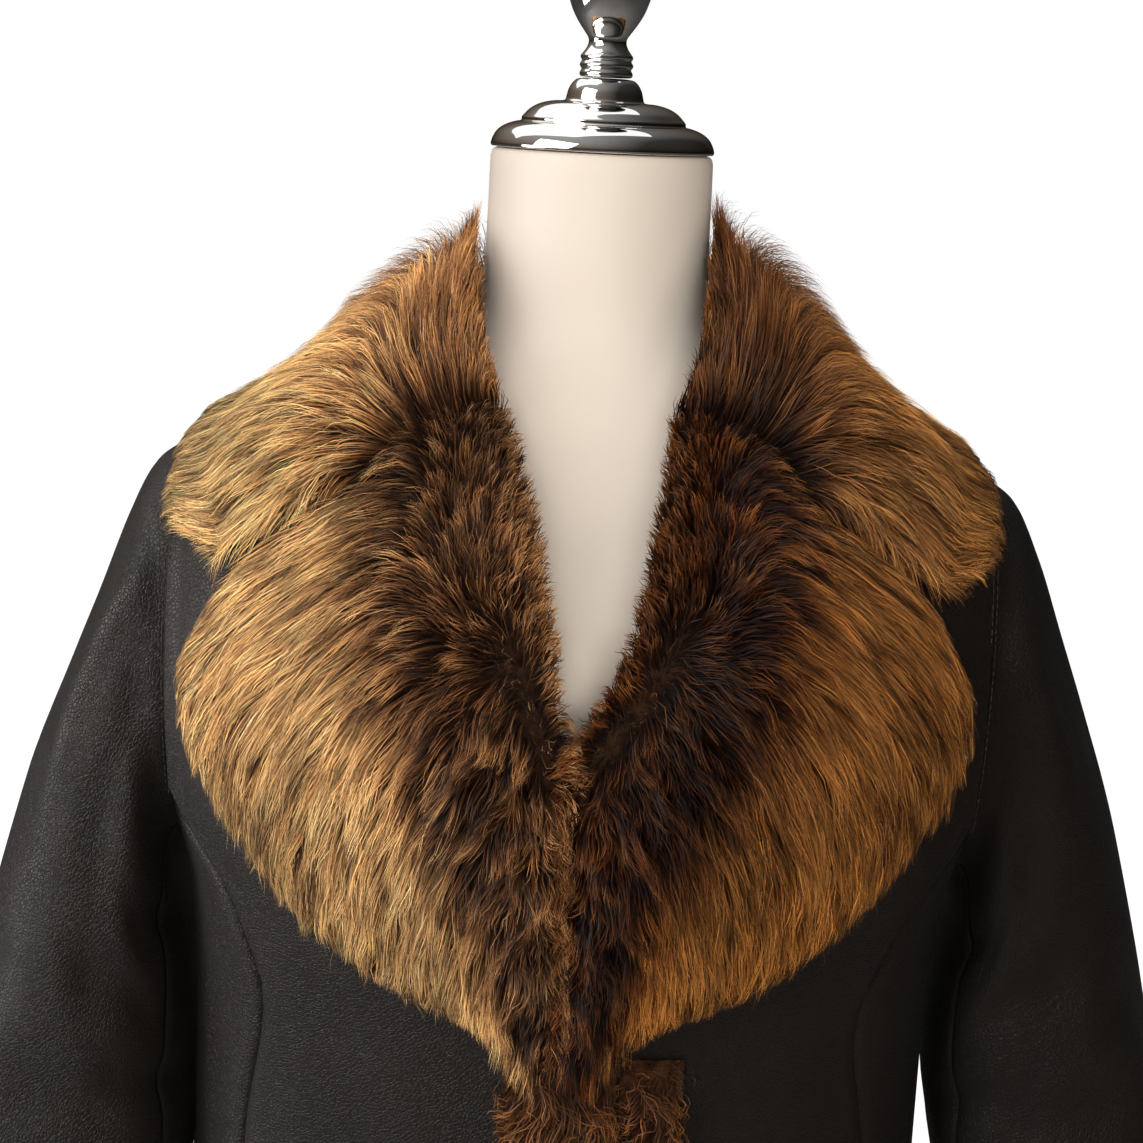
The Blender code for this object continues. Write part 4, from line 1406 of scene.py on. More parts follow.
@dataclass
class CoatBody:
    """The six leather panels of the body, with their seams and stitching."""

    figure: Figure
    finishes: Finishes
    wall: float = 0.005
    seam_gap: float = 0.0002
    seam_dip: float = 0.0016
    seam_width: float = 0.0028
    welt_width: float = 0.0085
    welt_rise: float = 0.0028
    hem_round: float = 0.0030
    stitch: Triple = (0.0042, 0.0031, 0.0008)
    stitch_insets: Range = (0.0018, 0.0066)
    stitch_places: int = 90
    seam_curve: float = 1.4
    seam_roll: Triple = (0.0005, 0.0075, 0.004)
    crease_scale: float = 0.0034
    welt_edge: float = 0.0016
    welt_valley: Triple = (0.0016, 0.0040, 0.0011)
    inner_lift: float = 0.3
    crowding: float = 0.85
    front_columns: int = 27
    back_columns: int = 25
    side_columns: int = 19
    side_top_rows: int = 9
    main_rows: int = 62
    hem_rows: tuple[float, ...] = (0.0, 0.0006, 0.0016, 0.0034, 0.0070, 0.0140)
    plain_from: float = 0.026

    def seam_turn(self, height: Array, behind: bool) -> Array:
        """The turn of the panel seam, which runs up into the armhole.

        Args:
            height: metres above the floor.
            behind: whether it is the seam behind the arm.

        Returns:
            Degrees.
        """
        track = Track(BACK_SEAM if behind else FRONT_SEAM)
        top = float(self.figure.armhole_height(SEAM_STEP))
        end = float(self.figure.armhole_turn(top, behind))
        share = np.clip((height - UNDERARM) / (top - UNDERARM), 0.0, 1.0)
        return mix(track(height)[..., 0], end, share**self.seam_curve)

    def outer_edge(self, height: Array, behind: bool) -> Array:
        """The turn of a front or back panel's outer edge: seam, then armhole, then shoulder.

        Args:
            height: metres above the floor.
            behind: whether it is a back panel.

        Returns:
            Degrees.
        """
        top = float(self.figure.armhole_height(SEAM_STEP))
        seam = self.seam_turn(height, behind)
        armhole = self.figure.armhole_turn(np.clip(height, top, SHOULDER_TIP), behind)
        turn = np.where(height < top, seam, np.where(height < SHOULDER_TIP, armhole, 90.0))
        inward = self.seam_gap * (1 if behind else -1)
        return turn + inward / self.figure.metres_per_degree(turn, height)

    def lift(self, turn: Array, height: Array, from_seam: Array, from_armhole: Array) -> Array:
        """How far the leather stands off its plain surface.

        Args:
            turn: degrees, on the wearer's own side.
            height: metres.
            from_seam: metres to the nearest seam of the panel.
            from_armhole: metres to the armhole, or a large number.

        Returns:
            Metres outwards.
        """
        lift = crease_lift(BODY_CREASES, height, turn, self.crease_scale)
        lift = lift - self.seam_dip * np.exp(-((from_seam / self.seam_width) ** 2))
        rise, place, width = self.seam_roll
        lift = lift + rise * np.exp(-(((from_seam - place) / width) ** 2))
        welt = 1 - smooth_step(from_armhole, self.welt_width, self.welt_width + self.welt_edge)
        depth, place, width = self.welt_valley
        valley = np.exp(-(((from_armhole - place) / width) ** 2))
        return lift + welt * (self.welt_rise - depth * valley)

    def rows(self, top: float) -> Array:
        """Heights from the hem to a top, closer together at the hem."""
        near = HEM + np.array(self.hem_rows)
        return np.concatenate([near, np.linspace(HEM + self.plain_from, top, self.main_rows)])

    def panel(self, name: str, side: Side, turn: Array, height: Array, lift: Array) -> None:
        """Builds a panel's shell.

        Args:
            name: the CAD node that it stands for.
            side: the wearer's side.
            turn: rows by columns, on the wearer's left.
            height: the same.
            lift: the same, metres outwards.
        """
        signed = side.value * turn
        points = self.figure.point(signed, height)
        normals = self.figure.normal(signed, height)
        ease = drawn_together(height - HEM, self.wall, self.hem_round)
        outer = points + (lift - ease)[..., None] * normals
        inner = points + (self.inner_lift * lift - self.wall + ease)[..., None] * normals
        leather_sheet(name, outer, inner, self.finishes)

    def main_panel(self, word: str, side: Side, rise: Array, start: Array, end: Array) -> None:
        """Builds a front or back panel between two edges, one of which runs up the armhole.

        Args:
            word: front_ or back_.
            side: the wearer's side.
            rise: the rows' heights.
            start: the turn of its first edge at each row.
            end: the turn of its last edge.
        """
        back = word == "back_"
        share = crowded(self.back_columns if back else self.front_columns, self.crowding)
        turn = mix(start[:, None], end[:, None], share[None, :])
        height = np.broadcast_to(rise[:, None], turn.shape)
        apart = self.figure.metres_per_degree(turn, height)
        from_start, from_end = (turn - start[:, None]) * apart, (end[:, None] - turn) * apart
        from_seam = np.minimum(from_start, from_end) if back else from_end
        armhole = (height > self.figure.armhole_height(SEAM_STEP)) & (height < SHOULDER_TIP)
        from_armhole = np.where(armhole, from_start if back else from_end, FAR)
        lift = self.lift(side.value * turn, height, from_seam, from_armhole)
        self.panel(word + side.word, side, turn, height, lift)

    def front(self, side: Side) -> None:
        """Builds a front panel, from the front edge to the side panel, the armhole and the shoulder.

        Args:
            side: the wearer's side.
        """
        rise = self.rows(NECKLINE)
        edge = Track(FRONT_EDGE)(rise)
        start = self.figure.turn_at(edge[:, 0] + side.value * edge[:, 1] + self.seam_gap, rise)
        self.main_panel("front_", side, rise, start, self.outer_edge(rise, False))

    def back(self, side: Side) -> None:
        """Builds a back panel, from the side panel, the armhole and the shoulder to the centre back.

        Args:
            side: the wearer's side.
        """
        rise = self.rows(NECKLINE)
        behind = np.full(len(rise), 180.0)
        middle = 180 - self.seam_gap / self.figure.metres_per_degree(behind, rise)
        self.main_panel("back_", side, rise, self.outer_edge(rise, True), middle)

    def side_panel(self, side: Side) -> None:
        """Builds the panel under the arm, whose top edge is the foot of the armhole.

        Args:
            side: the wearer's side.
        """
        steps = np.linspace(-SEAM_STEP, SEAM_STEP, 2 * EDGE_PLACES + 1)
        tops = self.figure.armhole_height(np.abs(steps))
        turns = self.figure.armhole_turn(tops, steps > 0)
        low, high = self.seam_turn(tops, False), self.seam_turn(tops, True)
        shares = np.clip((turns - low) / (high - low), 0.0, 1.0)
        share = crowded(self.side_columns, self.crowding)
        top = np.interp(share, shares, tops) - self.seam_gap
        rise = self.rows(SIDE_BREAK)
        height = np.broadcast_to(rise[:, None], (len(rise), len(share)))
        upper = mix(SIDE_BREAK, top[None, :], np.linspace(0, 1, self.side_top_rows)[1:, None])
        height = np.concatenate([height, upper])
        low, high = self.seam_turn(height, False), self.seam_turn(height, True)
        turn = mix(low, high, share[None, :])
        apart = self.figure.metres_per_degree(turn, height)
        turn = turn + self.seam_gap / apart * (1 - 2 * share[None, :])
        from_seam = np.minimum((turn - low) * apart, (high - turn) * apart)
        lift = self.lift(side.value * turn, height, from_seam, np.full(turn.shape, FAR))
        self.panel("side_" + side.word, side, turn, height, lift)

    def armhole_stitches(self, side: Side) -> None:
        """Sews two rows of stitches on the raised band round the armhole, above the side panel.

        Args:
            side: the wearer's side.
        """
        step = np.linspace(SEAM_STEP + 0.1, ARMHOLE_STEPS - 0.05, self.stitch_places)
        height = self.figure.armhole_height(step)
        paths = []
        for behind in (False, True):
            edge = self.figure.armhole_turn(height, behind)
            way = 1 if behind else -1
            for inset in self.stitch_insets:
                turn = edge + way * inset / self.figure.metres_per_degree(edge, height)
                signed = side.value * turn
                normals = self.figure.normal(signed, height)
                crease = crease_lift(BODY_CREASES, height, signed, self.crease_scale)
                rise = (crease + self.welt_rise)[:, None]
                paths.append((self.figure.point(signed, height) + rise * normals, normals))
        name = "armhole_stitches_" + side.word
        settle(stitch_object(name, paths, self.stitch, self.finishes.thread), "coat_leather")

    def build(self) -> None:
        """Builds the panels of both sides and their stitching."""
        for side in Side:
            self.front(side)
            self.side_panel(side)
            self.back(side)
            self.armhole_stitches(side)


@dataclass
class Sleeve:
    """A two-piece sleeve with a soft ridge down its front and crushed folds at the elbow."""

    figure: Figure
    finishes: Finishes
    side: Side
    creases: Rows
    hang: Rows
    rings: Rows = SLEEVE_RINGS
    corners: float = 0.07
    wall: float = 0.005
    around: int = 90
    along: int = 84
    top_share: float = 0.4
    cuff_rows: tuple[float, ...] = (0.07, 0.035, 0.015, 0.005, 0.0)
    head_depth: Range = (0.083, 0.075)
    head_gap: float = 0.0002
    head_length: float = 0.9
    head_turn: float = 0.35
    head_slope: float = 0.22
    head_dip: float = 0.0014
    crease_start: Range = (0.15, 1.2)
    degrees_a_ring: float = 30.0
    seam_dip: float = 0.0013
    seam_width: float = 2.6
    seam_gap: float = 0.0001
    inner_lift: float = 0.4
    cuff_round: float = 0.0030

    def outer_skin(self) -> tuple[Array, Array, Array]:
        """The plain outer skin on the wearer's left, before its creases.

        Returns:
            Rings by points by 3, the rings' numbers, and the turns round the sleeve.
        """
        even = np.linspace(0.0, len(self.rings), self.along)
        number = np.concatenate([even[:-1], len(self.rings) - np.array(self.cuff_rows)])
        turn = np.arange(self.around) * 360 / self.around
        step = np.abs(ARMHOLE_STEPS - turn / 180 * ARMHOLE_STEPS)
        height = self.figure.armhole_height(step)
        cut = self.figure.armhole_turn(height, turn > 180, self.head_gap)
        armhole = self.figure.point(np.where(step >= ARMHOLE_STEPS - SMALL_STEP, 90.0, cut), height)
        x, y, z = armhole.T
        foot = self.around // 2
        first = (x[0], z[0], x[foot], z[foot], *self.head_depth, 0.0, 0.0)
        table = [(i, *row) for i, row in enumerate([first, *self.rings])]
        value = Track(table)(number)
        angle = np.radians(turn)
        corner = 1 + self.corners * np.sin(2 * angle) ** 2
        outer_x, outer_z, inner_x, inner_z, front, back, forward, roundness = value.T[:, :, None]
        inner_x = inner_x + Track(self.hang)(number)
        depth = np.where(np.sin(angle) > 0, front, back)
        across = mix(-y, depth * np.sin(angle) * corner, roundness)
        swing = np.cos(angle) * mix(1.0, corner, roundness)
        skin = np.stack(
            [
                (outer_x + inner_x) / 2 + (outer_x - inner_x) / 2 * swing,
                -forward - across,
                (outer_z + inner_z) / 2 + (outer_z - inner_z) / 2 * swing,
            ],
            axis=-1,
        )
        blend = (1 - smooth_step(number, 0.0, self.head_length))[:, None, None]
        shift = armhole - skin[0]
        return skin + shift * blend, number, turn

    def build(self) -> None:
        """Builds the top sleeve and the under sleeve."""
        skin, number, turn = self.outer_skin()
        around = np.roll(skin, -1, axis=1) - np.roll(skin, 1, axis=1)
        along = np.gradient(skin, axis=0)
        normals = unit(np.cross(along, around))
        if ((skin - skin.mean(axis=1, keepdims=True)) * normals).sum() < 0:
            normals = -normals
        head = unit(skin[0] * LEVEL)
        near = (1 - smooth_step(number, 0.0, self.head_turn))[:, None, None]
        normals = unit(mix(normals, head[None], near))
        seam = self.top_share * 360
        rows = [(a0, r0, a1, r1, w, h) for r0, a0, r1, a1, w, h in self.creases]
        lift = crease_lift(tuple(rows), number[:, None], turn[None, :], 1 / self.degrees_a_ring)
        lift = lift * smooth_step(number, *self.crease_start)[:, None]
        off = np.minimum(np.abs(turn - seam), np.abs(turn - (360 - seam)))
        lift = lift - self.seam_dip * np.exp(-((off / self.seam_width) ** 2))[None, :]
        slope = smooth_step(number, 0.0, self.head_slope)[:, None]
        lift = lift - self.head_dip * (1 - slope)
        from_cuff = np.linalg.norm(skin - skin[-1:], axis=2).min(axis=1)
        ease = drawn_together(from_cuff, self.wall, self.cuff_round)[:, None]
        outer = skin + (lift - ease)[..., None] * normals
        inner = skin + (self.inner_lift * lift - self.wall + ease)[..., None] * normals
        if self.side is Side.RIGHT:
            outer, inner = outer * [-1, 1, 1], inner * [-1, 1, 1]
        edge = int(round(self.top_share * self.around))
        halves = {
            "top_sleeve_": np.arange(-edge, edge + 1) % self.around,
            "under_sleeve_": np.arange(edge, self.around - edge + 1),
        }
        for word, columns in halves.items():
            skins = [self.part_from_seam(part[:, columns]) for part in (outer, inner)]
            leather_sheet(word + self.side.word, skins[0], skins[1], self.finishes)

    def part_from_seam(self, skin: Array) -> Array:
        """Draws a skin's two side edges a hair's breadth away from the seams.

        Args:
            skin: rows by columns.

        Returns:
            The skin, drawn in.
        """
        skin = skin.copy()
        for edge, inside in ((0, 1), (-1, -2)):
            skin[:, edge] += self.seam_gap * unit(skin[:, inside] - skin[:, edge])
        return skin


# ---------------------------------------------------------------- fur

# Hair grows more closely round the parting: how much more, and over what share of the way across.
PARTING_GROWTH: Range = (1.1, 0.11)


@dataclass
class FurGround:
    """The ground that a fur piece's hair grows on, as grids over s (along the piece) and w (across it)."""

    base: Array
    up: Array
    pile: Array
    back: Array

    def __post_init__(self) -> None:
        """Works out the two ways along the ground at each place."""
        rows, columns = self.pile.shape
        self.along = np.gradient(self.base, 1 / (rows - 1), axis=0)
        self.across = np.gradient(self.base, 1 / (columns - 1), axis=1)
        self.normal = unit(np.cross(self.along, self.across))
        if (self.normal * self.up).sum() < 0:
            self.normal = -self.normal
        self.grids = np.concatenate(
            [self.base, self.up, self.pile[..., None], self.along, self.across, self.normal], axis=-1
        )

    def sample(self, s: Array, w: Array) -> tuple[Array, Array, Array, Array, Array, Array]:
        """The ground at some places.

        Args:
            s: shares of the way along, from 0 to 1.
            w: shares of the way across.

        Returns:
            Base points, pile directions, pile heights, ways along, ways across, normals.
        """
        rows, columns = self.pile.shape
        y = np.clip(s, 0, 1) * (rows - 1)
        x = np.clip(w, 0, 1) * (columns - 1)
        i = np.minimum(y.astype(int), rows - 2)
        j = np.minimum(x.astype(int), columns - 2)
        v, u = (y - i)[:, None], (x - j)[:, None]
        low = self.grids[i, j] * (1 - u) + self.grids[i, j + 1] * u
        high = self.grids[i + 1, j] * (1 - u) + self.grids[i + 1, j + 1] * u
        got = low * (1 - v) + high * v
        base, up, pile, along, across, normal = np.split(got, (3, 6, 7, 10, 13), axis=1)
        return base, unit(up), pile[:, 0], along, across, unit(normal)

    def scatter(
        self, count: int, rng: np.random.Generator, within: tuple[float, float], parting: float
    ) -> tuple[Array, Array]:
        """Places spread over the ground's area, closer together round the parting.

        Args:
            count: how many.
            rng: the seeded source of chance.
            within: the first and last s.
            parting: the parting's w.

        Returns:
            Their s and w.
        """
        rows, columns = self.pile.shape
        top = self.base + self.up * self.pile[..., None]
        patches = np.cross(np.diff(top, axis=0)[:, :-1], np.diff(top, axis=1)[:-1])
        area = np.linalg.norm(patches, axis=2)
        middles = (np.arange(columns - 1) + 0.5) / (columns - 1)
        more, width = PARTING_GROWTH
        area = area * (1 + more * np.exp(-(((middles - parting) / width) ** 2)))[None, :]
        middles = (np.arange(rows - 1) + 0.5) / (rows - 1)
        area[(middles < within[0]) | (middles > within[1])] = 0.0
        chosen = rng.choice(area.size, size=count, p=(area / area.sum()).ravel())
        i, j = np.divmod(chosen, columns - 1)
        return (i + rng.random(count)) / (rows - 1), (j + rng.random(count)) / (columns - 1)


@dataclass(frozen=True)
class Coat:
    """How a kind of hair looks: its colours and habits, usually the long hair's."""

    root: Colour = (0.014, 0.006, 0.0035)
    middle: Colour = (0.225, 0.090, 0.029)
    tip: Colour = (0.780, 0.445, 0.175)
    pale: Colour = (0.930, 0.680, 0.370)
    length: Range = (0.036, 0.052)
    width: float = 0.00054
    wave: float = 0.0015
    waves: float = 0.9
    clump: float = 0.78
    frizz: float = 0.0003
    sway: float = 0.10
    loose: float = 0.10
    overhang: Range = (0.002, 0.019)
    least_share: float = 0.45
    least_lean: float = 0.70
    lean_width: float = 0.20
    inner_length: float = 0.36
    inner_clump: float = 0.40
    # Painted shade for strands far from their lock's middle, between the locks.
    gap_shade: float = 0.20
    under_share: float = 0.24
    patchiness: float = 0.16


# How a hair stands as it runs over the ground: how much taller it stands where it leans less, its level
# at the root, how quickly it rises, over what overhang it sinks to the ground, and how far it drops
# there.
LEAN_STAND = 0.22
ROOT_LEVEL = 0.30
ARCH = 1.7
SINK_REACH = 0.030
EDGE_DROP = -0.35
# Hairs are shortened to hang over an edge by their slack: the share of it inside the parting, its spread,
# how much more than their excess they lose, and the shortest share of their length.
INNER_SLACK = 0.6
SLACK_SPREAD: Range = (0.3, 1.0)
EXCESS_CUT = 1.05
SHORTEST = 0.25
FITTINGS = 2
# What chance gives locks and strands: their rise in the pile, strands' length, and the rise of the under
# hair.
LOCK_RISE: Range = (0.86, 1.10)
STRAND_LENGTH: Range = (0.72, 1.06)
STRAND_RISE: Range = (0.66, 1.04)
UNDER_RISE = 0.72
# How strands gather into locks: inside the parting, the hold of loose hairs, the spread of the others',
# how far apart they stay, the most hold, and where along the strand it sets in.
INSIDE: Range = (-0.05, 0.06)
LOOSE_HOLD = 0.10
HOLD_SPREAD: Range = (0.8, 1.12)
KEPT_APART = 0.10
MOST_HOLD = 0.97
HOLD_START = 0.05
ROOT_SCATTER = 0.0009
# How locks wave: strands' spread in phase, the swing's spread, and its share up and down.
PHASE_SPREAD = 0.5
SWING_SPREAD: Range = (0.4, 1.6)
SWING_LIFT = 0.6
# Strands far from their lock's middle get painted shade, as in the gaps between locks: which per cent
# counts as the edge, and where the shade sets in.
GAP_RANK = 90
GAP_EDGE: Range = (0.45, 1.0)
# Painted shade: the under hair, lying low in the pile, is painted darker.
UNDER_SHADE = 0.62
GIRTH_SPREAD: Range = (0.65, 1.25)
UNDER_GIRTH = 1.7
# Where along a strand its colour turns: the dark root's share and its spread over strands and locks, then
# the ranges past it for the middle colour, the tip's and the pale hairs'.
DARK_SHARE = 0.13
DARK_SPREAD: Range = (0.05, 0.10)
BODY_TURN: Range = (0.0, 0.28)
TIP_TURN: Range = (0.16, 0.62)
PALE_TURN: Range = (0.3, 0.8)
# Inside the parting the tips stay near the middle colour: by what share, where, and that colour's gain
# for tip and pale hair.
INNER_SHADE = 0.55
INSIDE_COLOUR: Range = (-0.04, 0.06)
INNER_GAINS: Range = (1.2, 1.6)
# Pale and dark hairs: their share of all, and how strongly they show.
PALE_HAIRS: Range = (0.20, 0.60)
DARK_HAIRS: Range = (0.18, 0.72)
DARK_GAIN = 0.5
# The tone's spread over locks (least, and more in fur with painted shade) and over strands, its limits,
# and the hue's spread.
LOCK_TONE: Range = (0.24, 0.14)
STRAND_TONE = 0.18
TONE_LIMITS: Range = (0.3, 1.5)
TINT = 0.03
TINT_GAINS = np.array([0.5, -0.6, -1.6])
# How much green and blue painted shade takes out of the fur, making it redder.
SHADED_LOSS = np.array([0.0, 0.55, 1.15])
COLOUR_LIMITS: Range = (0.002, 0.95)
# A ribbon's roll, and its half width along: how late it tapers, and its swell.
ROLL: Range = (-0.9, 0.9)
TAPER = 2.2
SWELL: Triple = (0.7, 0.6, 0.3)

LONG_HAIR = Coat()
TRIM_HAIR = Coat(
    root=(0.020, 0.009, 0.004),
    middle=(0.065, 0.021, 0.006),
    tip=(0.230, 0.085, 0.022),
    pale=(0.420, 0.190, 0.060),
    length=(0.026, 0.040),
    width=0.00062,
    wave=0.0030,
    waves=1.5,
    clump=0.60,
    frizz=0.0004,
    sway=0.30,
    loose=0.16,
    overhang=(0.005, 0.013),
    least_share=0.30,
    least_lean=1.0,
    lean_width=0.2,
    inner_length=1.0,
    inner_clump=0.62,
    gap_shade=0.40,
    under_share=0.30,
    patchiness=0.20,
)

# Painted light and shade on each side's fur: the wearer's left, away from the key light, is painted darker,
# and the right a little lighter.
PAINTED_FUR_SIDE_LIGHT = {Side.LEFT: 0.43, Side.RIGHT: 1.06}
# Painted light: the collar's fur is painted lighter on both sides, over its side's own painted light and
# shade.
PAINTED_COLLAR_LIGHT = {Side.LEFT: 1.34, Side.RIGHT: 1.45}
# Slow patches of lighter and darker fur, as waves along and across a piece.
PATCH_WAVES = ((7.1, 3.3), (15.7, -8.1))
# The parting's line wavers: how quickly along the piece, and where each wave starts.
PARTING_WAVES = ((41.0, 0.0), (97.0, 2.0))
PARTING_WAVER = 0.02
PARTING_BLEND = (-0.07, 0.08)

Flow = Callable[[Array, Array, Array, Array, Array, Array], Array]
ReachOver = Callable[[Array, Array], Array]


@dataclass
class Fur:
    """Long hair grown on a piece of ground: locks of tapered strands that lie along a flow."""

    ground: FurGround
    coat: Coat
    flow: Flow
    reach_over: ReachOver
    material: Material
    parting: float
    seed: int
    rng: np.random.Generator = field(init=False)
    extra_stand: float = 0.0
    # Painted light and shade over the whole fur: above 1 it is painted lighter, below 1 darker.
    shade: float = 1.0
    # Where the dark roots run further up the hairs: the place across, its width and how much further;
    # partly the roots showing where the hair parts, partly painted shade in the fold there.
    dark: Triple = (0.18, 0.17, 0.56)
    steps: int = 6

    def __post_init__(self) -> None:
        """Starts the fur's own source of chance."""
        self.rng = np.random.default_rng(self.seed)

    def walk(self, s: Array, w: Array, length: Array, rise: Array, sway: Array) -> tuple[Array, Array]:
        """The points of hairs that start at some places and follow the flow over the ground.

        Args:
            s: where each starts, along.
            w: where each starts, across.
            length: each hair's length.
            rise: how high in the pile each one lies, about 1 for the top.
            sway: how far each one turns from the flow.

        Returns:
            Hairs by steps by 3, and how far each hair hangs out beyond the ground.
        """
        s, w = s.copy(), w.copy()
        out = np.zeros((len(s), 3))
        waver = sum(np.sin(quickness * s + start) for quickness, start in PARTING_WAVES)
        low, high = PARTING_BLEND
        outward = smooth_step(w + PARTING_WAVER * waver, self.parting + low, self.parting + high)
        lean = mix(self.coat.least_lean, 1.0, smooth_step(w - self.parting, 0.0, self.coat.lean_width))
        lean = mix(self.coat.inner_length, lean, outward)
        stand = 1 + (LEAN_STAND + self.extra_stand) * (1 - lean)
        points = []
        for k in range(self.steps):
            t = k / (self.steps - 1)
            base, up, pile, along, across, normal = self.ground.sample(s, w)
            level = mix(ROOT_LEVEL, stand, 1 - (1 - t) ** ARCH) * rise
            over = np.linalg.norm(out, axis=1)
            height = pile * level * np.exp(-((over / SINK_REACH) ** 2))
            drop = (EDGE_DROP * over * t)[:, None] * UPWARD
            points.append(base + out + up * height[:, None] + drop)
            way = self.flow(s, w, base, along, across, outward)
            way = unit(way + np.cross(normal, way) * sway[:, None])
            step = way * (lean * length / (self.steps - 1))[:, None]
            ds, dw = self.shares_of_step(step, along, across)
            past = np.maximum(self.share_past_edge(s, ds), self.share_past_edge(w, dw))
            out = out + step * past[:, None]
            s, w = np.clip(s + ds * (1 - past), 0, 1), np.clip(w + dw * (1 - past), 0, 1)
        return np.stack(points, axis=1), np.linalg.norm(out, axis=1)

    @staticmethod
    def shares_of_step(step: Array, along: Array, across: Array) -> tuple[Array, Array]:
        """How far steps go along and across the ground.

        Args:
            step: the steps, in metres.
            along: the ways along the ground.
            across: the ways across it.

        Returns:
            Shares of the piece's length and of its width.
        """
        aa, bb, ab = (across * across).sum(1), (along * along).sum(1), (across * along).sum(1)
        a, b = (step * across).sum(1), (step * along).sum(1)
        scale = np.maximum(aa * bb - ab * ab, TINY)
        return (b * aa - a * ab) / scale, (a * bb - b * ab) / scale

    @staticmethod
    def share_past_edge(place: Array, change: Array) -> Array:
        """The share of a change in place that lies beyond 0 or 1."""
        moved = place + change
        return np.clip(np.maximum(moved - 1, -moved) / np.maximum(np.abs(change), LEAST_CHANGE), 0, 1)

    def fitted(
        self, count: int, length: Array, rise: Array, within: Range
    ) -> tuple[Array, Array, Array]:
        """Hairs whose tips reach just past the edge of the piece, however near it they grow.

        Args:
            count: how many.
            length: each hair's full length.
            rise: how high in the pile each one lies.
            within: the first and last s.

        Returns:
            Their s, w and points.
        """
        rng = self.rng
        s, w = self.ground.scatter(count, rng, within, self.parting)
        sway = rng.normal(0.0, self.coat.sway, count)
        slack = np.where(w < self.parting, INNER_SLACK, 1.0) * rng.uniform(*self.coat.overhang, count)
        slack = slack * rng.uniform(*SLACK_SPREAD, count) + self.reach_over(s, w)
        for _ in range(FITTINGS):
            over = self.walk(s, w, length, rise, sway)[1]
            cut = np.maximum(length - np.maximum(over - slack, 0.0) * EXCESS_CUT, 0.0)
            short = cut < self.coat.least_share * length
            again_s, again_w = self.ground.scatter(count, rng, within, self.parting)
            s, w = np.where(short, again_s, s), np.where(short, again_w, w)
        over = self.walk(s, w, length, rise, sway)[1]
        length = np.maximum(length - np.maximum(over - slack, 0.0) * EXCESS_CUT, SHORTEST * length)
        return s, w, self.walk(s, w, length, rise, sway)[0]

    def inside(self, w: Array, edge: Range) -> Array:
        """1 inside the parting and 0 beyond it, with the change between two places round it."""
        return 1 - smooth_step(w, self.parting + edge[0], self.parting + edge[1])

    def grow(self, name: str, strands: int, locks: int, within: Range = (0.0, 1.0)) -> None:
        """Grows the hair and joins it into one piece.

        Args:
            name: the piece's name.
            strands: how many hairs.
            locks: how many locks they gather into.
            within: the first and last s.
        """
        coat, rng = self.coat, self.rng
        lock_length = rng.uniform(*coat.length, locks)
        lock_rise = rng.uniform(*LOCK_RISE, locks)
        lock_s, lock_w, guides = self.fitted(locks, lock_length, lock_rise, within)
        length = rng.uniform(*coat.length, strands) * rng.uniform(*STRAND_LENGTH, strands)
        rise = rng.uniform(*STRAND_RISE, strands)
        under = rng.random(strands) < coat.under_share
        rise = np.where(under, UNDER_RISE * rise, rise)
        s, w, points = self.fitted(strands, length, rise, within)
        lock, apart = self.nearest_lock(s, w, lock_s, lock_w)
        t = np.linspace(0, 1, self.steps)[None, :, None]
        loose = rng.random(strands) < coat.loose
        clump = mix(coat.clump, coat.inner_clump, self.inside(w, INSIDE))
        hold = np.where(loose, LOOSE_HOLD, clump * rng.uniform(*HOLD_SPREAD, strands))[:, None, None]
        gathered = guides[lock] + KEPT_APART * (points - guides[lock])
        points = mix(points, gathered, np.clip(hold, 0, MOST_HOLD) * smooth_step(t, HOLD_START, 1.0))
        up = self.ground.sample(s, w)[1]
        side = unit(np.cross(unit(np.gradient(points, axis=1)), up[:, None, :]))
        points = self.waved(points, side, up, lock, locks, t)
        # Painted shade: strands far from their lock's middle, and the under hair, are darker; the slow
        # patches are the fur's own tone.
        edge = smooth_step(apart / np.percentile(apart, GAP_RANK), *GAP_EDGE)
        colour = self.strand_colours(w, lock, locks, t)
        patch = sum(np.sin(a * s + b * w + self.seed) for a, b in PATCH_WAVES)
        shade = mix(1.0, coat.gap_shade, edge) * np.where(under, UNDER_SHADE, 1.0)
        shade = shade * (1 + coat.patchiness * patch)
        girth = coat.width * rng.uniform(*GIRTH_SPREAD, strands) * np.where(under, UNDER_GIRTH, 1.0)
        self.ribbons(name, points, side, up, colour * shade[:, None, None], girth)

    def waved(
        self, points: Array, side: Array, up: Array, lock: Array, locks: int, t: Array
    ) -> Array:
        """The strands with their locks' waves and their own frizz.

        Args:
            points: hairs by steps by 3.
            side: the sideways direction at each step.
            up: the pile's direction at each hair.
            lock: each hair's lock.
            locks: how many locks there are.
            t: the steps' shares of the length.

        Returns:
            Hairs by steps by 3.
        """
        rng = self.rng
        phase = rng.uniform(0, 2 * math.pi, locks)[lock] + rng.normal(0, PHASE_SPREAD, len(lock))
        swing = (self.coat.wave * rng.uniform(*SWING_SPREAD, locks)[lock])[:, None, None] * t
        angle = phase[:, None, None] + 2 * math.pi * self.coat.waves * t
        points = points + side * swing * np.sin(angle)
        points = points + up[:, None, :] * SWING_LIFT * swing * np.cos(angle)
        return points + rng.normal(0, 1, points.shape) * self.coat.frizz * t

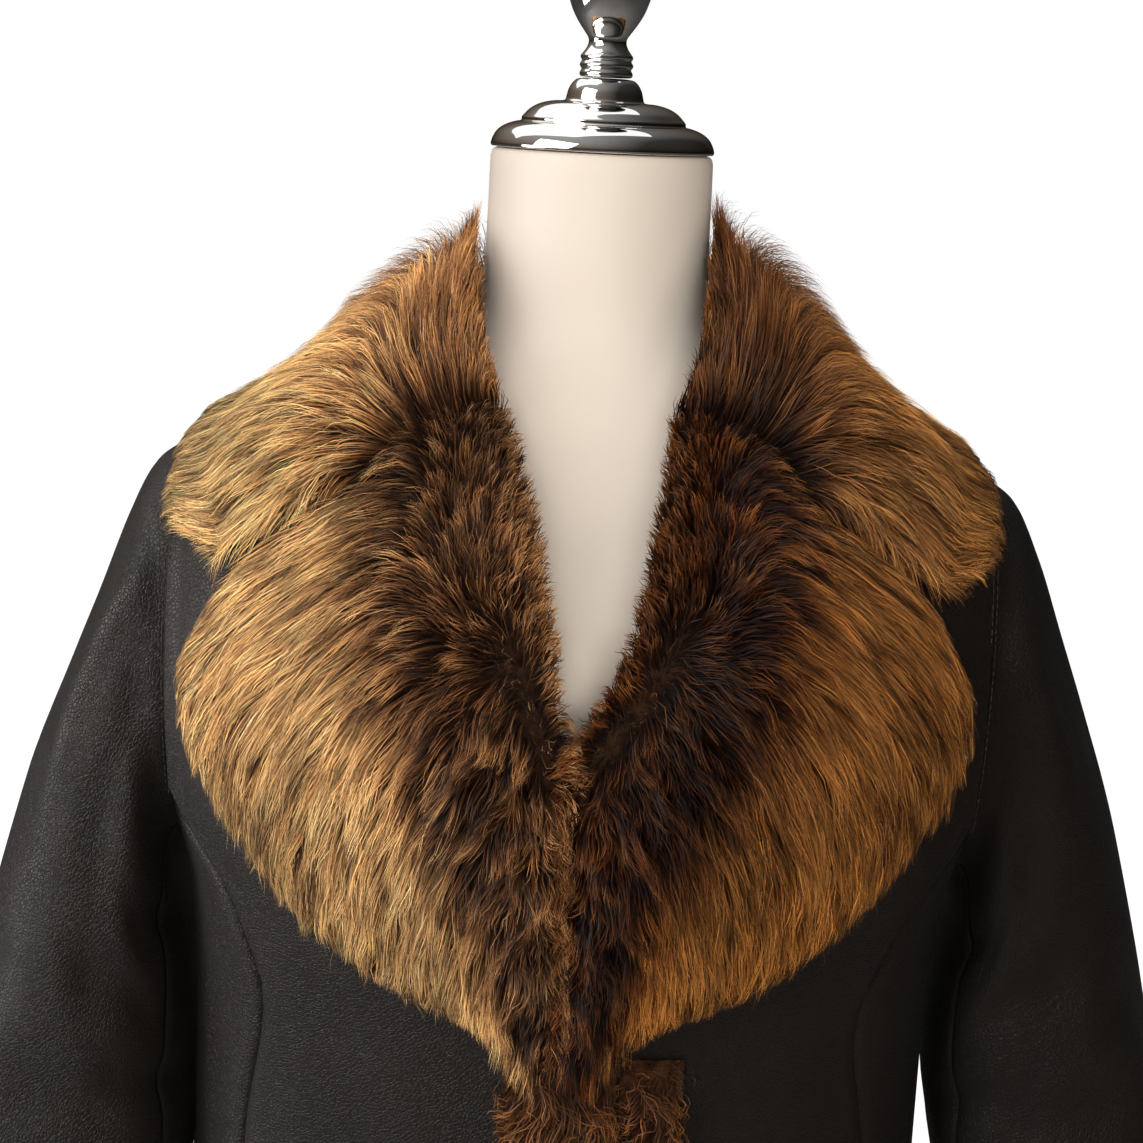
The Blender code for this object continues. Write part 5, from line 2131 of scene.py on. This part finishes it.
    def nearest_lock(
        self, s: Array, w: Array, lock_s: Array, lock_w: Array
    ) -> tuple[Array, Array]:
        """The lock that each hair joins: the nearest one.

        Args:
            s: the hairs' places along.
            w: the hairs' places across.
            lock_s: the locks' places along.
            lock_w: the locks' places across.

        Returns:
            The lock's number for each hair, and how far off the lock's own root is.
        """
        lock_base = self.ground.sample(lock_s, lock_w)[0]
        base = self.ground.sample(s, w)[0]
        base = base + self.rng.normal(0, ROOT_SCATTER, base.shape)
        tree = KDTree(len(lock_base))
        for number, place in enumerate(lock_base):
            tree.insert(Vector(place), number)
        tree.balance()
        found = [tree.find(Vector(place)) for place in base]
        return np.array([each[1] for each in found]), np.array([each[2] for each in found])

    def strand_colours(self, w: Array, lock: Array, locks: int, t: Array) -> Array:
        """The colour at every step of every hair, with the painted light and shade of its side and of the
        fold round the parting.

        Args:
            w: the hairs' places across.
            lock: each hair's lock.
            locks: how many locks there are.
            t: the steps' shares of the length.

        Returns:
            Hairs by steps by 3.
        """
        coat, rng = self.coat, self.rng
        root, middle, tip, pale = (np.array(c) for c in (coat.root, coat.middle, coat.tip, coat.pale))
        # The dark roots run further near one line across: partly real roots showing, partly painted shade
        # in the fold.
        place, width, share = self.dark
        near = np.exp(-(((w - place) / width) ** 2))
        of_strand, of_lock = DARK_SPREAD
        late = DARK_SHARE + share * near + rng.normal(0, of_strand, len(w))
        late = (late + rng.normal(0, of_lock, locks)[lock])[:, None, None]
        inside = (INNER_SHADE * self.inside(w, INSIDE_COLOUR))[:, None, None]
        tip, pale = (mix(c, middle * gain, inside) for c, gain in zip((tip, pale), INNER_GAINS))
        body = mix(root, middle, smooth_step(t - late, *BODY_TURN))
        colour = mix(body, tip, smooth_step(t - late, *TIP_TURN))
        few, strength = PALE_HAIRS
        fair = (rng.random(len(w)) < few)[:, None, None] * strength
        colour = mix(colour, pale, fair * smooth_step(t - late, *PALE_TURN))
        few, strength = DARK_HAIRS
        dark = (rng.random(len(w)) < few)[:, None, None] * strength
        colour = mix(colour, middle * DARK_GAIN, dark)
        # Painted light and shade of the fur's side: it scales the tone, and painted shade also spreads the
        # locks' tones wider and takes green and blue out.
        less = max(1 - self.shade, 0.0)
        uneven = LOCK_TONE[0] + LOCK_TONE[1] * less
        tone = self.shade * rng.normal(1.0, uneven, locks)[lock]
        tone = np.clip(tone * rng.normal(1.0, STRAND_TONE, len(w)), *TONE_LIMITS)
        hue = 1 + TINT_GAINS * rng.normal(0.0, TINT, locks)[lock][:, None]
        deep = 1.0 - SHADED_LOSS * less
        return np.clip(colour * deep * tone[:, None, None] * hue[:, None, :], *COLOUR_LIMITS)

    def ribbons(
        self, name: str, points: Array, side: Array, up: Array, colour: Array, girth: Array
    ) -> None:
        """Builds one joined mesh of tapered ribbons.

        Args:
            name: the piece's name.
            points: hairs by steps by 3.
            side: the ribbons' sideways direction at each step.
            up: the pile's direction at each hair.
            colour: hairs by steps by 3.
            girth: each hair's width.
        """
        hairs, steps = points.shape[:2]
        roll = self.rng.uniform(*ROLL, hairs)[:, None, None]
        flat = unit(side * np.cos(roll) + up[:, None, :] * np.sin(roll))
        t = np.linspace(0, 1, steps)[None, :, None]
        least, swell, fading = SWELL
        half = girth[:, None, None] / 2 * (1 - t**TAPER) * (least + swell * np.sqrt(t) * (1 - t) ** fading)
        left, right = points - flat * half, points + flat * half
        body = np.stack([left[:, :-1], right[:, :-1]], axis=2).reshape(hairs, -1, 3)
        corners = np.concatenate([body, points[:, -1:]], axis=1)
        per = corners.shape[1]
        pair = 2 * np.arange(steps - 2)
        quads = np.stack([pair, pair + 1, pair + 3, pair + 2], axis=-1).ravel()
        pattern = np.concatenate([quads, [per - 3, per - 2, per - 1]])
        loops = (np.arange(hairs)[:, None] * per + pattern[None, :]).ravel()
        face_starts = np.concatenate([4 * np.arange(steps - 2), [4 * (steps - 2)]])
        starts = (np.arange(hairs)[:, None] * len(pattern) + face_starts[None, :]).ravel()
        thing = new_mesh_object(name, corners.reshape(-1, 3), loops, starts, [self.material])
        painted = np.repeat(colour[:, :-1], 2, axis=1)
        painted = np.concatenate([painted, colour[:, -1:]], axis=1).reshape(-1, 3)
        kept = thing.data.color_attributes.new(name="strand_colour", type="FLOAT_COLOR", domain="POINT")
        rgba = np.concatenate([painted, np.ones((len(painted), 1))], axis=1)
        kept.data.foreach_set("color", np.ascontiguousarray(rgba, np.float32).ravel())
        settle(thing, "long_fur")
        LOG.info("%s: %d strands", name, hairs)


@dataclass
class FurPiece:
    """A piece of long-haired sheepskin lying on the coat: its skin and its hair."""

    figure: Figure
    finishes: Finishes
    skin_level: float = 0.42
    least_skin: float = 0.002
    least_fill: float = 0.31
    upright_end: Range = (0.10, 0.50)
    dip_end: float = 0.07
    reach: tuple[Reach, ...] = ()

    def flow(
        self, s: Array, w: Array, base: Array, along: Array, across: Array, outward: Array
    ) -> Array:
        """Which way the hair lies. Each kind of piece has its own."""
        raise NotImplementedError

    @staticmethod
    def reach_place(s: Array) -> Array:
        """The place along that the rows of the piece's reach are given for."""
        return s

    def reach_over(self, s: Array, w: Array) -> Array:
        """How much further the hair reaches past the piece's edge.

        Args:
            s: places along the piece.
            w: places across it.

        Returns:
            Metres.
        """
        place = self.reach_place(s)
        total = np.zeros(np.shape(s))
        for metres, along, across in self.reach:
            total = total + metres * band(place, along) * band(w, across)
        return total

    def line(
        self, place: Array, crest: Array, upright: Array, over: Array, dip: Array, w: Array
    ) -> FurGround:
        """The ground of a piece from its lines.

        Args:
            place: lines by columns by 2, the turn and height of each place.
            crest: each line's crest height.
            upright: how upright each line's crest stands.
            over: how far each crest leans in over the neck.
            dip: how far each line's inner edge dips.
            w: the columns' shares of the way across.

        Returns:
            The ground.
        """
        turn, height = place[..., 0], place[..., 1]
        normals = self.figure.normal(turn, height)
        points = self.figure.point(turn, height)
        start, end, rise = SLEEVE_HEAD
        points = points + (rise * smooth_step(np.abs(points[..., 0]), start, end))[..., None] * normals
        stand = unit(UPWARD - over[:, None, None] * unit(points * LEVEL))
        lean = upright[:, None] * (1 - smooth_step(w, *self.upright_end))[None, :]
        up = unit(mix(normals, stand, lean[..., None]))
        part, added = np.moveaxis(Track(PILE)(w), -1, 0)
        pile = crest[:, None] * part[None, :] + added[None, :]
        sunk = dip[:, None] * (1 - smooth_step(w, 0.0, self.dip_end))[None, :]
        back = points + (FUR_CLEARANCE - sunk)[..., None] * normals
        return FurGround(points, up, pile, back)

    def skin(self, name: str, node: str, ground: FurGround, material: Material) -> None:
        """Builds the piece's skin with its short dark wool.

        Args:
            name: the skin's name.
            node: the CAD node that it stands for.
            ground: its ground.
            material: its finish.
        """
        deep = np.maximum(ground.pile * self.skin_level, self.least_skin)
        top = ground.base + ground.up * deep[..., None]
        shell = shell_object(name, top, ground.back, [material])
        settle_sheet(shell, "long_fur", node, ground.base, top, self.least_fill)


@dataclass
class Lapel(FurPiece):
    """A long-haired lapel, whose hair falls outwards and down from the roll."""

    side: Side = Side.LEFT
    rows: int = 64
    columns: int = 40
    strands: int = 18500
    locks: int = 1400
    parting: float = 0.17
    seed: int = 31
    reach: tuple[Reach, ...] = LAPEL_REACH

    def ground(self) -> FurGround:
        """The lapel's ground.

        Returns:
            The ground.
        """
        table = [(i / (len(LAPEL) - 1), *row) for i, row in enumerate(LAPEL)]
        value = Track(table)(np.linspace(0, 1, self.rows))
        w = np.linspace(0, 1, self.columns)
        inner_x, inner_z, line_x, outer_x, outer_z, crest, dip = value.T
        start = inner_x + self.side.value * line_x
        distance = mix(start[:, None], outer_x[:, None], w[None, :])
        height = mix(inner_z[:, None], outer_z[:, None], w[None, :])
        turn = self.side.value * self.figure.turn_at(distance, height)
        place = np.stack([turn, height], axis=-1)
        plain = np.zeros(self.rows)
        return self.line(place, crest, plain, plain, dip, w)

    def flow(
        self, s: Array, w: Array, base: Array, along: Array, across: Array, outward: Array
    ) -> Array:
        """Out from the roll and down, and over the edge of the opening inside it.

        Args:
            s: the hairs' places along the piece.
            w: their places across it.
            base: the ground's points there.
            along: the ways along the ground.
            across: the ways across it.
            outward: 0 inside the parting and 1 beyond it.

        Returns:
            Unit vectors.
        """
        out = unit(across * LEVEL)
        height = base[:, 2]
        fall = np.clip(Track(FALL)(height)[:, 0] + FALL_GAIN * (w - FALL_CENTRE), *FALL_LIMITS)
        fan = mix(Track(LAPEL_FAN)(w)[:, 0], -fall, smooth_step(w, *LAPEL_FAN_END))
        low = smooth_step(mix(*FAN_FOOT, smooth_step(w, *FAN_RIM)) - height, 0.0, FAN_FADE)
        start, fade = UNREST_PLACE
        unrest = np.sin(UNREST_WAVES[0] * base[:, 0]) * np.sin(UNREST_WAVES[1] * height)
        unrest = UNREST * unrest * smooth_step(start - height, 0.0, fade)
        unrest = unrest * (1 - smooth_step(w, *UNREST_EDGE))
        end = mix(LOW_INNER_FALL, -fall, smooth_step(w, 0.0, INNER_SHARE))
        lip, rest = (np.radians(mix(fan, aim, low) + unrest)[:, None] for aim in (LIP_FALL, end))
        inner = out * np.cos(lip) + UPWARD * np.sin(lip)
        outer = out * np.cos(rest) + UPWARD * np.sin(rest)
        return unit(mix(inner, outer, smooth_step(w, *LIP)[:, None]))

    def build(self) -> None:
        """Builds the lapel's skin and hair."""
        ground = self.ground()
        word = self.side.word
        self.skin("lapel_skin_" + word, "lapel_" + word, ground, self.finishes.underwool)
        seed = self.seed + self.side.value
        fur = Fur(ground, LONG_HAIR, self.flow, self.reach_over, self.finishes.hair, self.parting, seed)
        # Painted light and shade for this side's fur.
        fur.shade = PAINTED_FUR_SIDE_LIGHT[self.side]
        fur.grow("lapel_hair_" + word, self.strands, self.locks)


@dataclass
class Collar(FurPiece):
    """The long-haired collar, which stands round the neck and falls over the shoulders and back."""

    stations: int = 121
    columns: int = 40
    parting: float = 0.12
    side_strands: int = 14500
    side_locks: int = 1000
    back_strands: int = 9400
    back_locks: int = 560
    back_steps: int = 5
    seed: int = 51
    reach: tuple[Reach, ...] = COLLAR_REACH
    front_end: float = 0.30
    # The collar's dark band near its seam: partly roots showing, partly painted shade in the fold.
    dark: Triple = (0.10, 0.14, 0.42)
    extra_stand: float = 0.25
    gorge_dip: float = 0.006
    gorge_turns: Range = (14.0, 50.0)
    shoulder_thinning: float = 0.55
    thin_along: Range = (0.22, 0.45)
    thin_across: Range = (0.40, 0.75)
    left_crest_lift: float = 0.16
    lift_along: Band = (0.10, 0.40, 0.70, 0.90)
    lift_end: Range = (0.25, 0.50)
    front_share: Range = (0.36, 0.46)
    gorge_share: Range = (0.44, 0.5)
    gorge_end: Range = (0.40, 0.58)
    fan_share: Range = (0.10, 0.34)
    falls: Triple = (0.20, 0.10, 0.95)
    fall_across: Range = (0.12, 0.36)

    def ground(self) -> FurGround:
        """The collar's ground, from the wearer's right gorge round to the left one.

        Returns:
            The ground.
        """
        table = [(i / (len(COLLAR) - 1), *row) for i, row in enumerate(COLLAR)]
        place = np.linspace(-1, 1, self.stations)
        side = np.where(place < 0, -1.0, 1.0)
        value = Track(table)(1 - np.abs(place))
        w = np.linspace(0, 1, self.columns)[None, :, None]
        seam, bend, edge = (value[:, None, k : k + 2] for k in (0, 2, 4))
        early = mix(seam, bend, w / COLLAR_BEND)
        late = mix(bend, edge, (w - COLLAR_BEND) / (1 - COLLAR_BEND))
        path = np.where(w < COLLAR_BEND, early, late)
        path = np.stack([side[:, None] * path[..., 0], path[..., 1]], axis=-1)
        crest, upright, over = value[:, 6], value[:, 7], value[:, 8]
        dip = self.gorge_dip * (1 - smooth_step(value[:, 0], *self.gorge_turns))
        ground = self.line(path, crest, upright, over, dip, w[0, :, 0])
        across = w[:, :, 0]
        thin = self.shoulder_thinning * smooth_step(np.abs(place), *self.thin_along)[:, None]
        thin = thin * smooth_step(across, *self.thin_across)
        lifted = self.left_crest_lift * band(place, self.lift_along)[:, None]
        lifted = lifted * (1 - smooth_step(across, *self.lift_end))
        return FurGround(ground.base, ground.up, ground.pile * (1 - thin) * (1 + lifted), ground.back)

    @staticmethod
    def reach_place(s: Array) -> Array:
        """How far a place is from the centre back: 0 there and 0.5 at either gorge."""
        return np.abs(s - 0.5)

    def flow(
        self, s: Array, w: Array, base: Array, along: Array, across: Array, outward: Array
    ) -> Array:
        """Up from the neck, then out over the shoulders and down the back.

        Args:
            s: the hairs' places along the piece.
            w: their places across it.
            base: the ground's points there.
            along: the ways along the ground.
            across: the ways across it.
            outward: 0 inside the parting and 1 beyond it.

        Returns:
            Unit vectors.
        """
        back = unit(along) * np.where(s < 0.5, 1.0, -1.0)[:, None]
        place = self.reach_place(s)
        gorge = smooth_step(place, *self.gorge_share) * (1 - smooth_step(w, *self.gorge_end))
        angle = np.radians(Track(COLLAR_FAN)(w)[:, 0] * smooth_step(place, *self.fan_share))[:, None]
        everywhere, at_front, at_gorge = self.falls
        falls = everywhere + at_front * smooth_step(place, *self.front_share) + at_gorge * gorge
        falls = (falls * smooth_step(w, *self.fall_across))[:, None]
        return unit(unit(across) * np.cos(angle) + back * np.sin(angle) - UPWARD * falls)

    def build(self) -> None:
        """Builds the collar's skin and its hair in three pieces."""
        ground = self.ground()
        self.skin("collar_skin", "collar", ground, self.finishes.underwool)
        spans = {
            "right": (0.0, self.front_end, self.side_strands, self.side_locks),
            "back": (self.front_end, 1 - self.front_end, self.back_strands, self.back_locks),
            "left": (1 - self.front_end, 1.0, self.side_strands, self.side_locks),
        }
        for number, (word, (first, last, strands, locks)) in enumerate(spans.items()):
            seed = self.seed + number
            fur = Fur(ground, LONG_HAIR, self.flow, self.reach_over, self.finishes.hair, self.parting, seed)
            fur.extra_stand = self.extra_stand
            fur.dark = self.dark
            side = Side.LEFT if word == "left" else Side.RIGHT
            # Painted light and shade for this side's fur, with more painted light on the collar.
            fur.shade = PAINTED_COLLAR_LIGHT[side] * PAINTED_FUR_SIDE_LIGHT[side]
            fur.steps = self.back_steps if word == "back" else fur.steps
            fur.grow("collar_hair_" + word, strands, locks, (first, last))


@dataclass
class Trim(FurPiece):
    """A curly fur strip down a front edge."""

    side: Side = Side.LEFT
    skin_level: float = 0.26
    least_skin: float = 0.0015
    low: float = 0.0308
    high: float = 0.0620
    foot: float = 0.5005
    top: float = 1.1155
    rise: float = 0.0205
    edge_rise: float = 0.005
    clearance: float = 0.0007
    taper: float = 0.040
    least_width: float = 0.94
    least_pile: float = 0.30
    top_turn: float = 0.014
    top_lift: float = 2.2
    spread: float = 0.9
    stray: float = 0.8
    stray_waves: Range = (190.0, 5.0)
    uneven: Rows = ((2.4, 61.0, 2.0), (1.3, 23.0, 0.0))
    dark: Triple = (0.5, 1.0, 0.0)
    no_parting: float = -1.0
    rows: int = 100
    columns: int = 15
    strands: int = 3600
    locks: int = 320
    steps: int = 7
    seed: int = 71

    def ground(self) -> FurGround:
        """The strip's ground.

        Returns:
            The ground.
        """
        height = np.linspace(self.foot, self.top, self.rows)[:, None]
        w = np.linspace(0, 1, self.columns)[None, :]
        full = smooth_step(self.top - height, 0.0, self.taper)
        share = 0.5 + (w - 0.5) * mix(self.least_width, 1.0, full)
        distance = mix(self.low, self.high, share)
        turn = self.figure.turn_at(distance, height)
        points, normals = self.figure.point(turn, height), self.figure.normal(turn, height)
        crown = np.sqrt(np.clip(1 - (2 * w - 1) ** 2, 0, 1)) * np.ones_like(height)
        pile = mix(self.edge_rise, self.rise, crown) * mix(self.least_pile, 1.0, full)
        return FurGround(points, normals, pile, points + self.clearance * normals)

    def flow(
        self, s: Array, w: Array, base: Array, along: Array, across: Array, outward: Array
    ) -> Array:
        """Down and out to both edges, and up over the strip's top.

        Args:
            s: the hairs' places along the piece.
            w: their places across it.
            base: the ground's points there.
            along: the ways along the ground.
            across: the ways across it.
            outward: 0 inside the parting and 1 beyond it.

        Returns:
            Unit vectors.
        """
        height = base[:, 2]
        out = unit(across) * (2 * w - 1)[:, None] * self.spread
        falling = 1 - self.top_lift * smooth_step(height - self.top, -self.top_turn, 0.0)
        shift = sum(size * np.sin(height * up + aside * w) for size, up, aside in self.uneven)
        up, aside = self.stray_waves
        stray = self.stray * np.sin(height * up + w * aside + shift)[:, None] * unit(across)
        return unit(out - UPWARD * falling[:, None] + stray)

    def build(self) -> None:
        """Builds the strip's skin and hair."""
        ground = self.ground()
        word = self.side.word
        self.skin("trim_skin_" + word, "trim_" + word, ground, self.finishes.trim_underwool)
        seed = self.seed + self.side.value
        hair = self.finishes.hair
        fur = Fur(ground, TRIM_HAIR, self.flow, self.reach_over, hair, self.no_parting, seed)
        fur.dark = self.dark
        fur.steps = self.steps
        fur.grow("trim_hair_" + word, self.strands, self.locks)


# ---------------------------------------------------------------- form and stand


@dataclass
class DressForm:
    """The limbless form with its chrome cap and finial, on its pole and base."""

    figure: Figure
    finishes: Finishes
    sides: int = 80
    turned_sides: int = 84
    main_rows: int = 96
    end_rows: tuple[float, ...] = (0.0, 0.0005, 0.0016, 0.004)
    plain_from: float = 0.012
    end_shrink: float = 0.0025

    def torso(self) -> None:
        """Builds the smooth torso and neck."""
        near = np.array(self.end_rows)
        main = np.linspace(FORM_FOOT + self.plain_from, NECK_TOP - self.plain_from, self.main_rows)
        height = np.concatenate([FORM_FOOT + near, main, NECK_TOP - near[::-1]])
        turn = np.linspace(-180, 180, self.sides, endpoint=False)
        rings = self.figure.form_point(turn[None, :], height[:, None])
        ends = np.minimum(height - FORM_FOOT, NECK_TOP - height)
        short = np.clip(1 - ends / self.end_rows[-1], 0.0, 1.0)
        shrink = self.end_shrink * (1 - np.sqrt(1 - short**2))
        middle = rings.mean(axis=1, keepdims=True)
        rings = rings - unit((rings - middle) * LEVEL) * shrink[:, None, None]
        settle(tube_object("form_cover", rings, self.finishes.cover), "form_cover", "form_torso")

    def build(self) -> None:
        """Builds the torso and the turned metal."""
        self.torso()
        chrome, steel = (self.finishes.chrome, "chrome"), (self.finishes.steel, "stand_metal")
        turned = (
            ("chrome_cap", CAP_PROFILE, NECK_TOP, 2, chrome, "neck_cap"),
            ("chrome_finial", FINIAL_PROFILE, NECK_TOP, 2, chrome, "finial"),
            ("round_base", STAND_PROFILE, 0.0, 2, steel, "stand_base"),
            ("upright_pole", POLE_PROFILE, 0.0, 1, steel, "stand_pole"),
        )
        for name, profile, lift, rounds, (material, slot), node in turned:
            rings = turned_rings(profile, lift, self.turned_sides, rounds)
            settle(tube_object(name, rings, material), slot, node)


# ---------------------------------------------------------------- studio


@dataclass(frozen=True)
class Softbox:
    """A large soft light, whether highlights show it, and its spread in degrees."""

    name: str
    power: float
    place: Triple
    aim_height: float
    size: Range
    colour: Colour = (1.0, 1.0, 1.0)
    mirrored: bool = True
    spread: float = 180.0

    def build(self) -> None:
        """Adds the light."""
        lamp = bpy.data.lights.new(self.name, "AREA")
        lamp.shape = "RECTANGLE"
        lamp.size, lamp.size_y = self.size
        lamp.energy = self.power
        lamp.color = self.colour
        lamp.spread = math.radians(self.spread)
        thing = bpy.data.objects.new(self.name, lamp)
        thing.location = self.place
        away = Vector(self.place) - Vector((0.0, 0.0, self.aim_height))
        thing.rotation_euler = away.to_track_quat("Z", "Y").to_euler()
        thing.visible_glossy = self.mirrored
        bpy.context.scene.collection.objects.link(thing)


@dataclass
class Studio:
    """A pale floor, soft light from the wearer's right, and the camera."""

    effects: Effects
    floor_reach: float = 30.0
    floor_glow: Range = (0.88, 1.02)
    glow_place: Range = (1.2, 2.4)
    camera_place: Triple = (0.0, -1.15, 1.567)
    camera_pitch: float = 11.94
    camera_roll: float = 2.8
    camera_turn: float = 0.255
    lens: float = 70.87
    film_width: float = 36.0
    nearest: float = 0.02
    ambient: Range = (0.03, 0.40)
    low_colour: Colour = (1.0, 0.72, 0.50)
    low_to_high: Range = (0.05, 0.85)
    bright_to_shaded: Range = (-0.5, 0.6)
    shaded_side: float = 0.10
    backdrop: float = 1.0
    boxes: tuple[Softbox, ...] = (
        Softbox("key_softbox", 44.0, (-1.8, -1.3, 2.3), 1.30, (1.8, 2.0), (1.0, 0.96, 0.92)),
        Softbox("left_softbox", 19.0, (-2.1, -0.5, 1.2), 1.20, (1.0, 1.6), (1.0, 0.96, 0.94)),
        Softbox("front_softbox", 21.0, (0.2, -2.8, 1.60), 1.30, (2.2, 1.0), (1.0, 0.95, 0.88), False, 90.0),
        Softbox("side_softbox", 17.0, (1.9, -1.6, 2.0), 1.45, (0.9, 1.2), (1.0, 0.90, 0.78), False),
        Softbox("top_softbox", 8.0, (-0.4, 0.5, 2.7), 1.40, (1.6, 1.6)),
    )

    def build_floor(self) -> None:
        """A plain pale floor."""
        corners = ((-1, -1, 0), (1, -1, 0), (1, 1, 0), (-1, 1, 0))
        points = np.array(corners, float) * self.floor_reach
        plain = PlainFinish((0.25, 0.25, 0.25), (0.23, 0.23, 0.23), 0.9, 1.5)
        finish = plain.material("pale_floor", self.effects)
        nodes = Nodes(finish.node_tree)
        path = nodes.add("ShaderNodeLightPath")
        shader = finish.node_tree.nodes["Principled BSDF"]
        shader.inputs["Emission Color"].default_value = (1.0, 1.0, 1.0, 1.0)
        place = nodes.add("ShaderNodeTexCoord")
        far = nodes.add("ShaderNodeVectorMath", {"operation": "LENGTH"})
        nodes.feed(far.inputs[0], place.outputs["Object"])
        glow = nodes.range(far.outputs["Value"], self.glow_place, self.floor_glow)
        seen = nodes.maths("MULTIPLY", path.outputs["Is Camera Ray"], glow)
        nodes.feed(shader.inputs["Emission Strength"], seen)
        quad_object("floor", points, np.array([[0, 1, 2, 3]]), [finish])

    def build_world(self) -> None:
        """Even soft light from all round, a little darker near level, before a plain white backdrop."""
        world = bpy.data.worlds.new("studio")
        world.use_nodes = True
        bpy.context.scene.world = world
        nodes = Nodes(world.node_tree)
        world.node_tree.nodes.clear()
        place = nodes.add("ShaderNodeTexCoord")
        split = nodes.add("ShaderNodeSeparateXYZ", Vector=place.outputs["Generated"])
        high = nodes.range(split.outputs["Z"], self.low_to_high)
        tint = nodes.colours(high, self.low_colour, (1.0, 1.0, 1.0))
        ambient = nodes.add("ShaderNodeBackground", Color=tint)
        strength = nodes.range(high, (0.0, 1.0), self.ambient)
        side = nodes.range(split.outputs["X"], self.bright_to_shaded, (1.0, self.shaded_side))
        nodes.feed(ambient.inputs["Strength"], nodes.maths("MULTIPLY", strength, side))
        plain = nodes.add("ShaderNodeBackground", Color=(1.0, 1.0, 1.0, 1.0), Strength=self.backdrop)
        path = nodes.add("ShaderNodeLightPath")
        both = nodes.add("ShaderNodeMixShader")
        nodes.feed(both.inputs[0], path.outputs["Is Camera Ray"])
        nodes.feed(both.inputs[1], ambient.outputs[0])
        nodes.feed(both.inputs[2], plain.outputs[0])
        end = nodes.add("ShaderNodeOutputWorld")
        nodes.feed(end.inputs["Surface"], both.outputs[0])

    def build_camera(self) -> None:
        """The camera: a little above the collar, looking down, and leaning slightly."""
        lens = bpy.data.cameras.new("camera")
        lens.lens = self.lens
        lens.sensor_width = self.film_width
        lens.sensor_fit = "HORIZONTAL"
        lens.clip_start = self.nearest
        camera = bpy.data.objects.new("camera", lens)
        bpy.context.scene.collection.objects.link(camera)
        camera.matrix_world = (
            Matrix.Translation(self.camera_place)
            @ Matrix.Rotation(math.radians(self.camera_turn), 4, "Z")
            @ Matrix.Rotation(math.radians(90 - self.camera_pitch), 4, "X")
            @ Matrix.Rotation(math.radians(self.camera_roll), 4, "Z")
        )
        bpy.context.scene.camera = camera

    def build(self) -> None:
        """Builds the floor, the light and the camera."""
        self.build_floor()
        self.build_world()
        self.build_camera()
        for box in self.boxes:
            box.build()
        bpy.context.scene.view_settings.view_transform = "Standard"
        bpy.context.scene.view_settings.look = "None"


# ---------------------------------------------------------------- all together


def main() -> None:
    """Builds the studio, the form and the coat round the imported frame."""
    logging.basicConfig(level=logging.INFO, format="%(message)s")
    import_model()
    effects = Effects()
    finishes = Finishes(effects)
    figure = Figure()
    Studio(effects).build()
    LOG.info("studio built")
    DressForm(figure, finishes).build()
    LOG.info("form and stand built")
    CoatBody(figure, finishes).build()
    LOG.info("body panels built")
    Sleeve(figure, finishes, Side.LEFT, LEFT_SLEEVE_CREASES, LEFT_SLEEVE_HANG).build()
    Sleeve(figure, finishes, Side.RIGHT, RIGHT_SLEEVE_CREASES, RIGHT_SLEEVE_HANG).build()
    LOG.info("sleeves built")
    for side in Side:
        Lapel(figure, finishes, side=side).build()
    Collar(figure, finishes).build()
    Trim(figure, finishes, side=Side.LEFT).build()
    wider = {"low": -0.0280, "high": 0.0302, "strands": 5200, "locks": 440}
    Trim(figure, finishes, side=Side.RIGHT, **wider).build()
    LOG.info("fur built")
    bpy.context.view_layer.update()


if __name__ == "__main__":
    main()
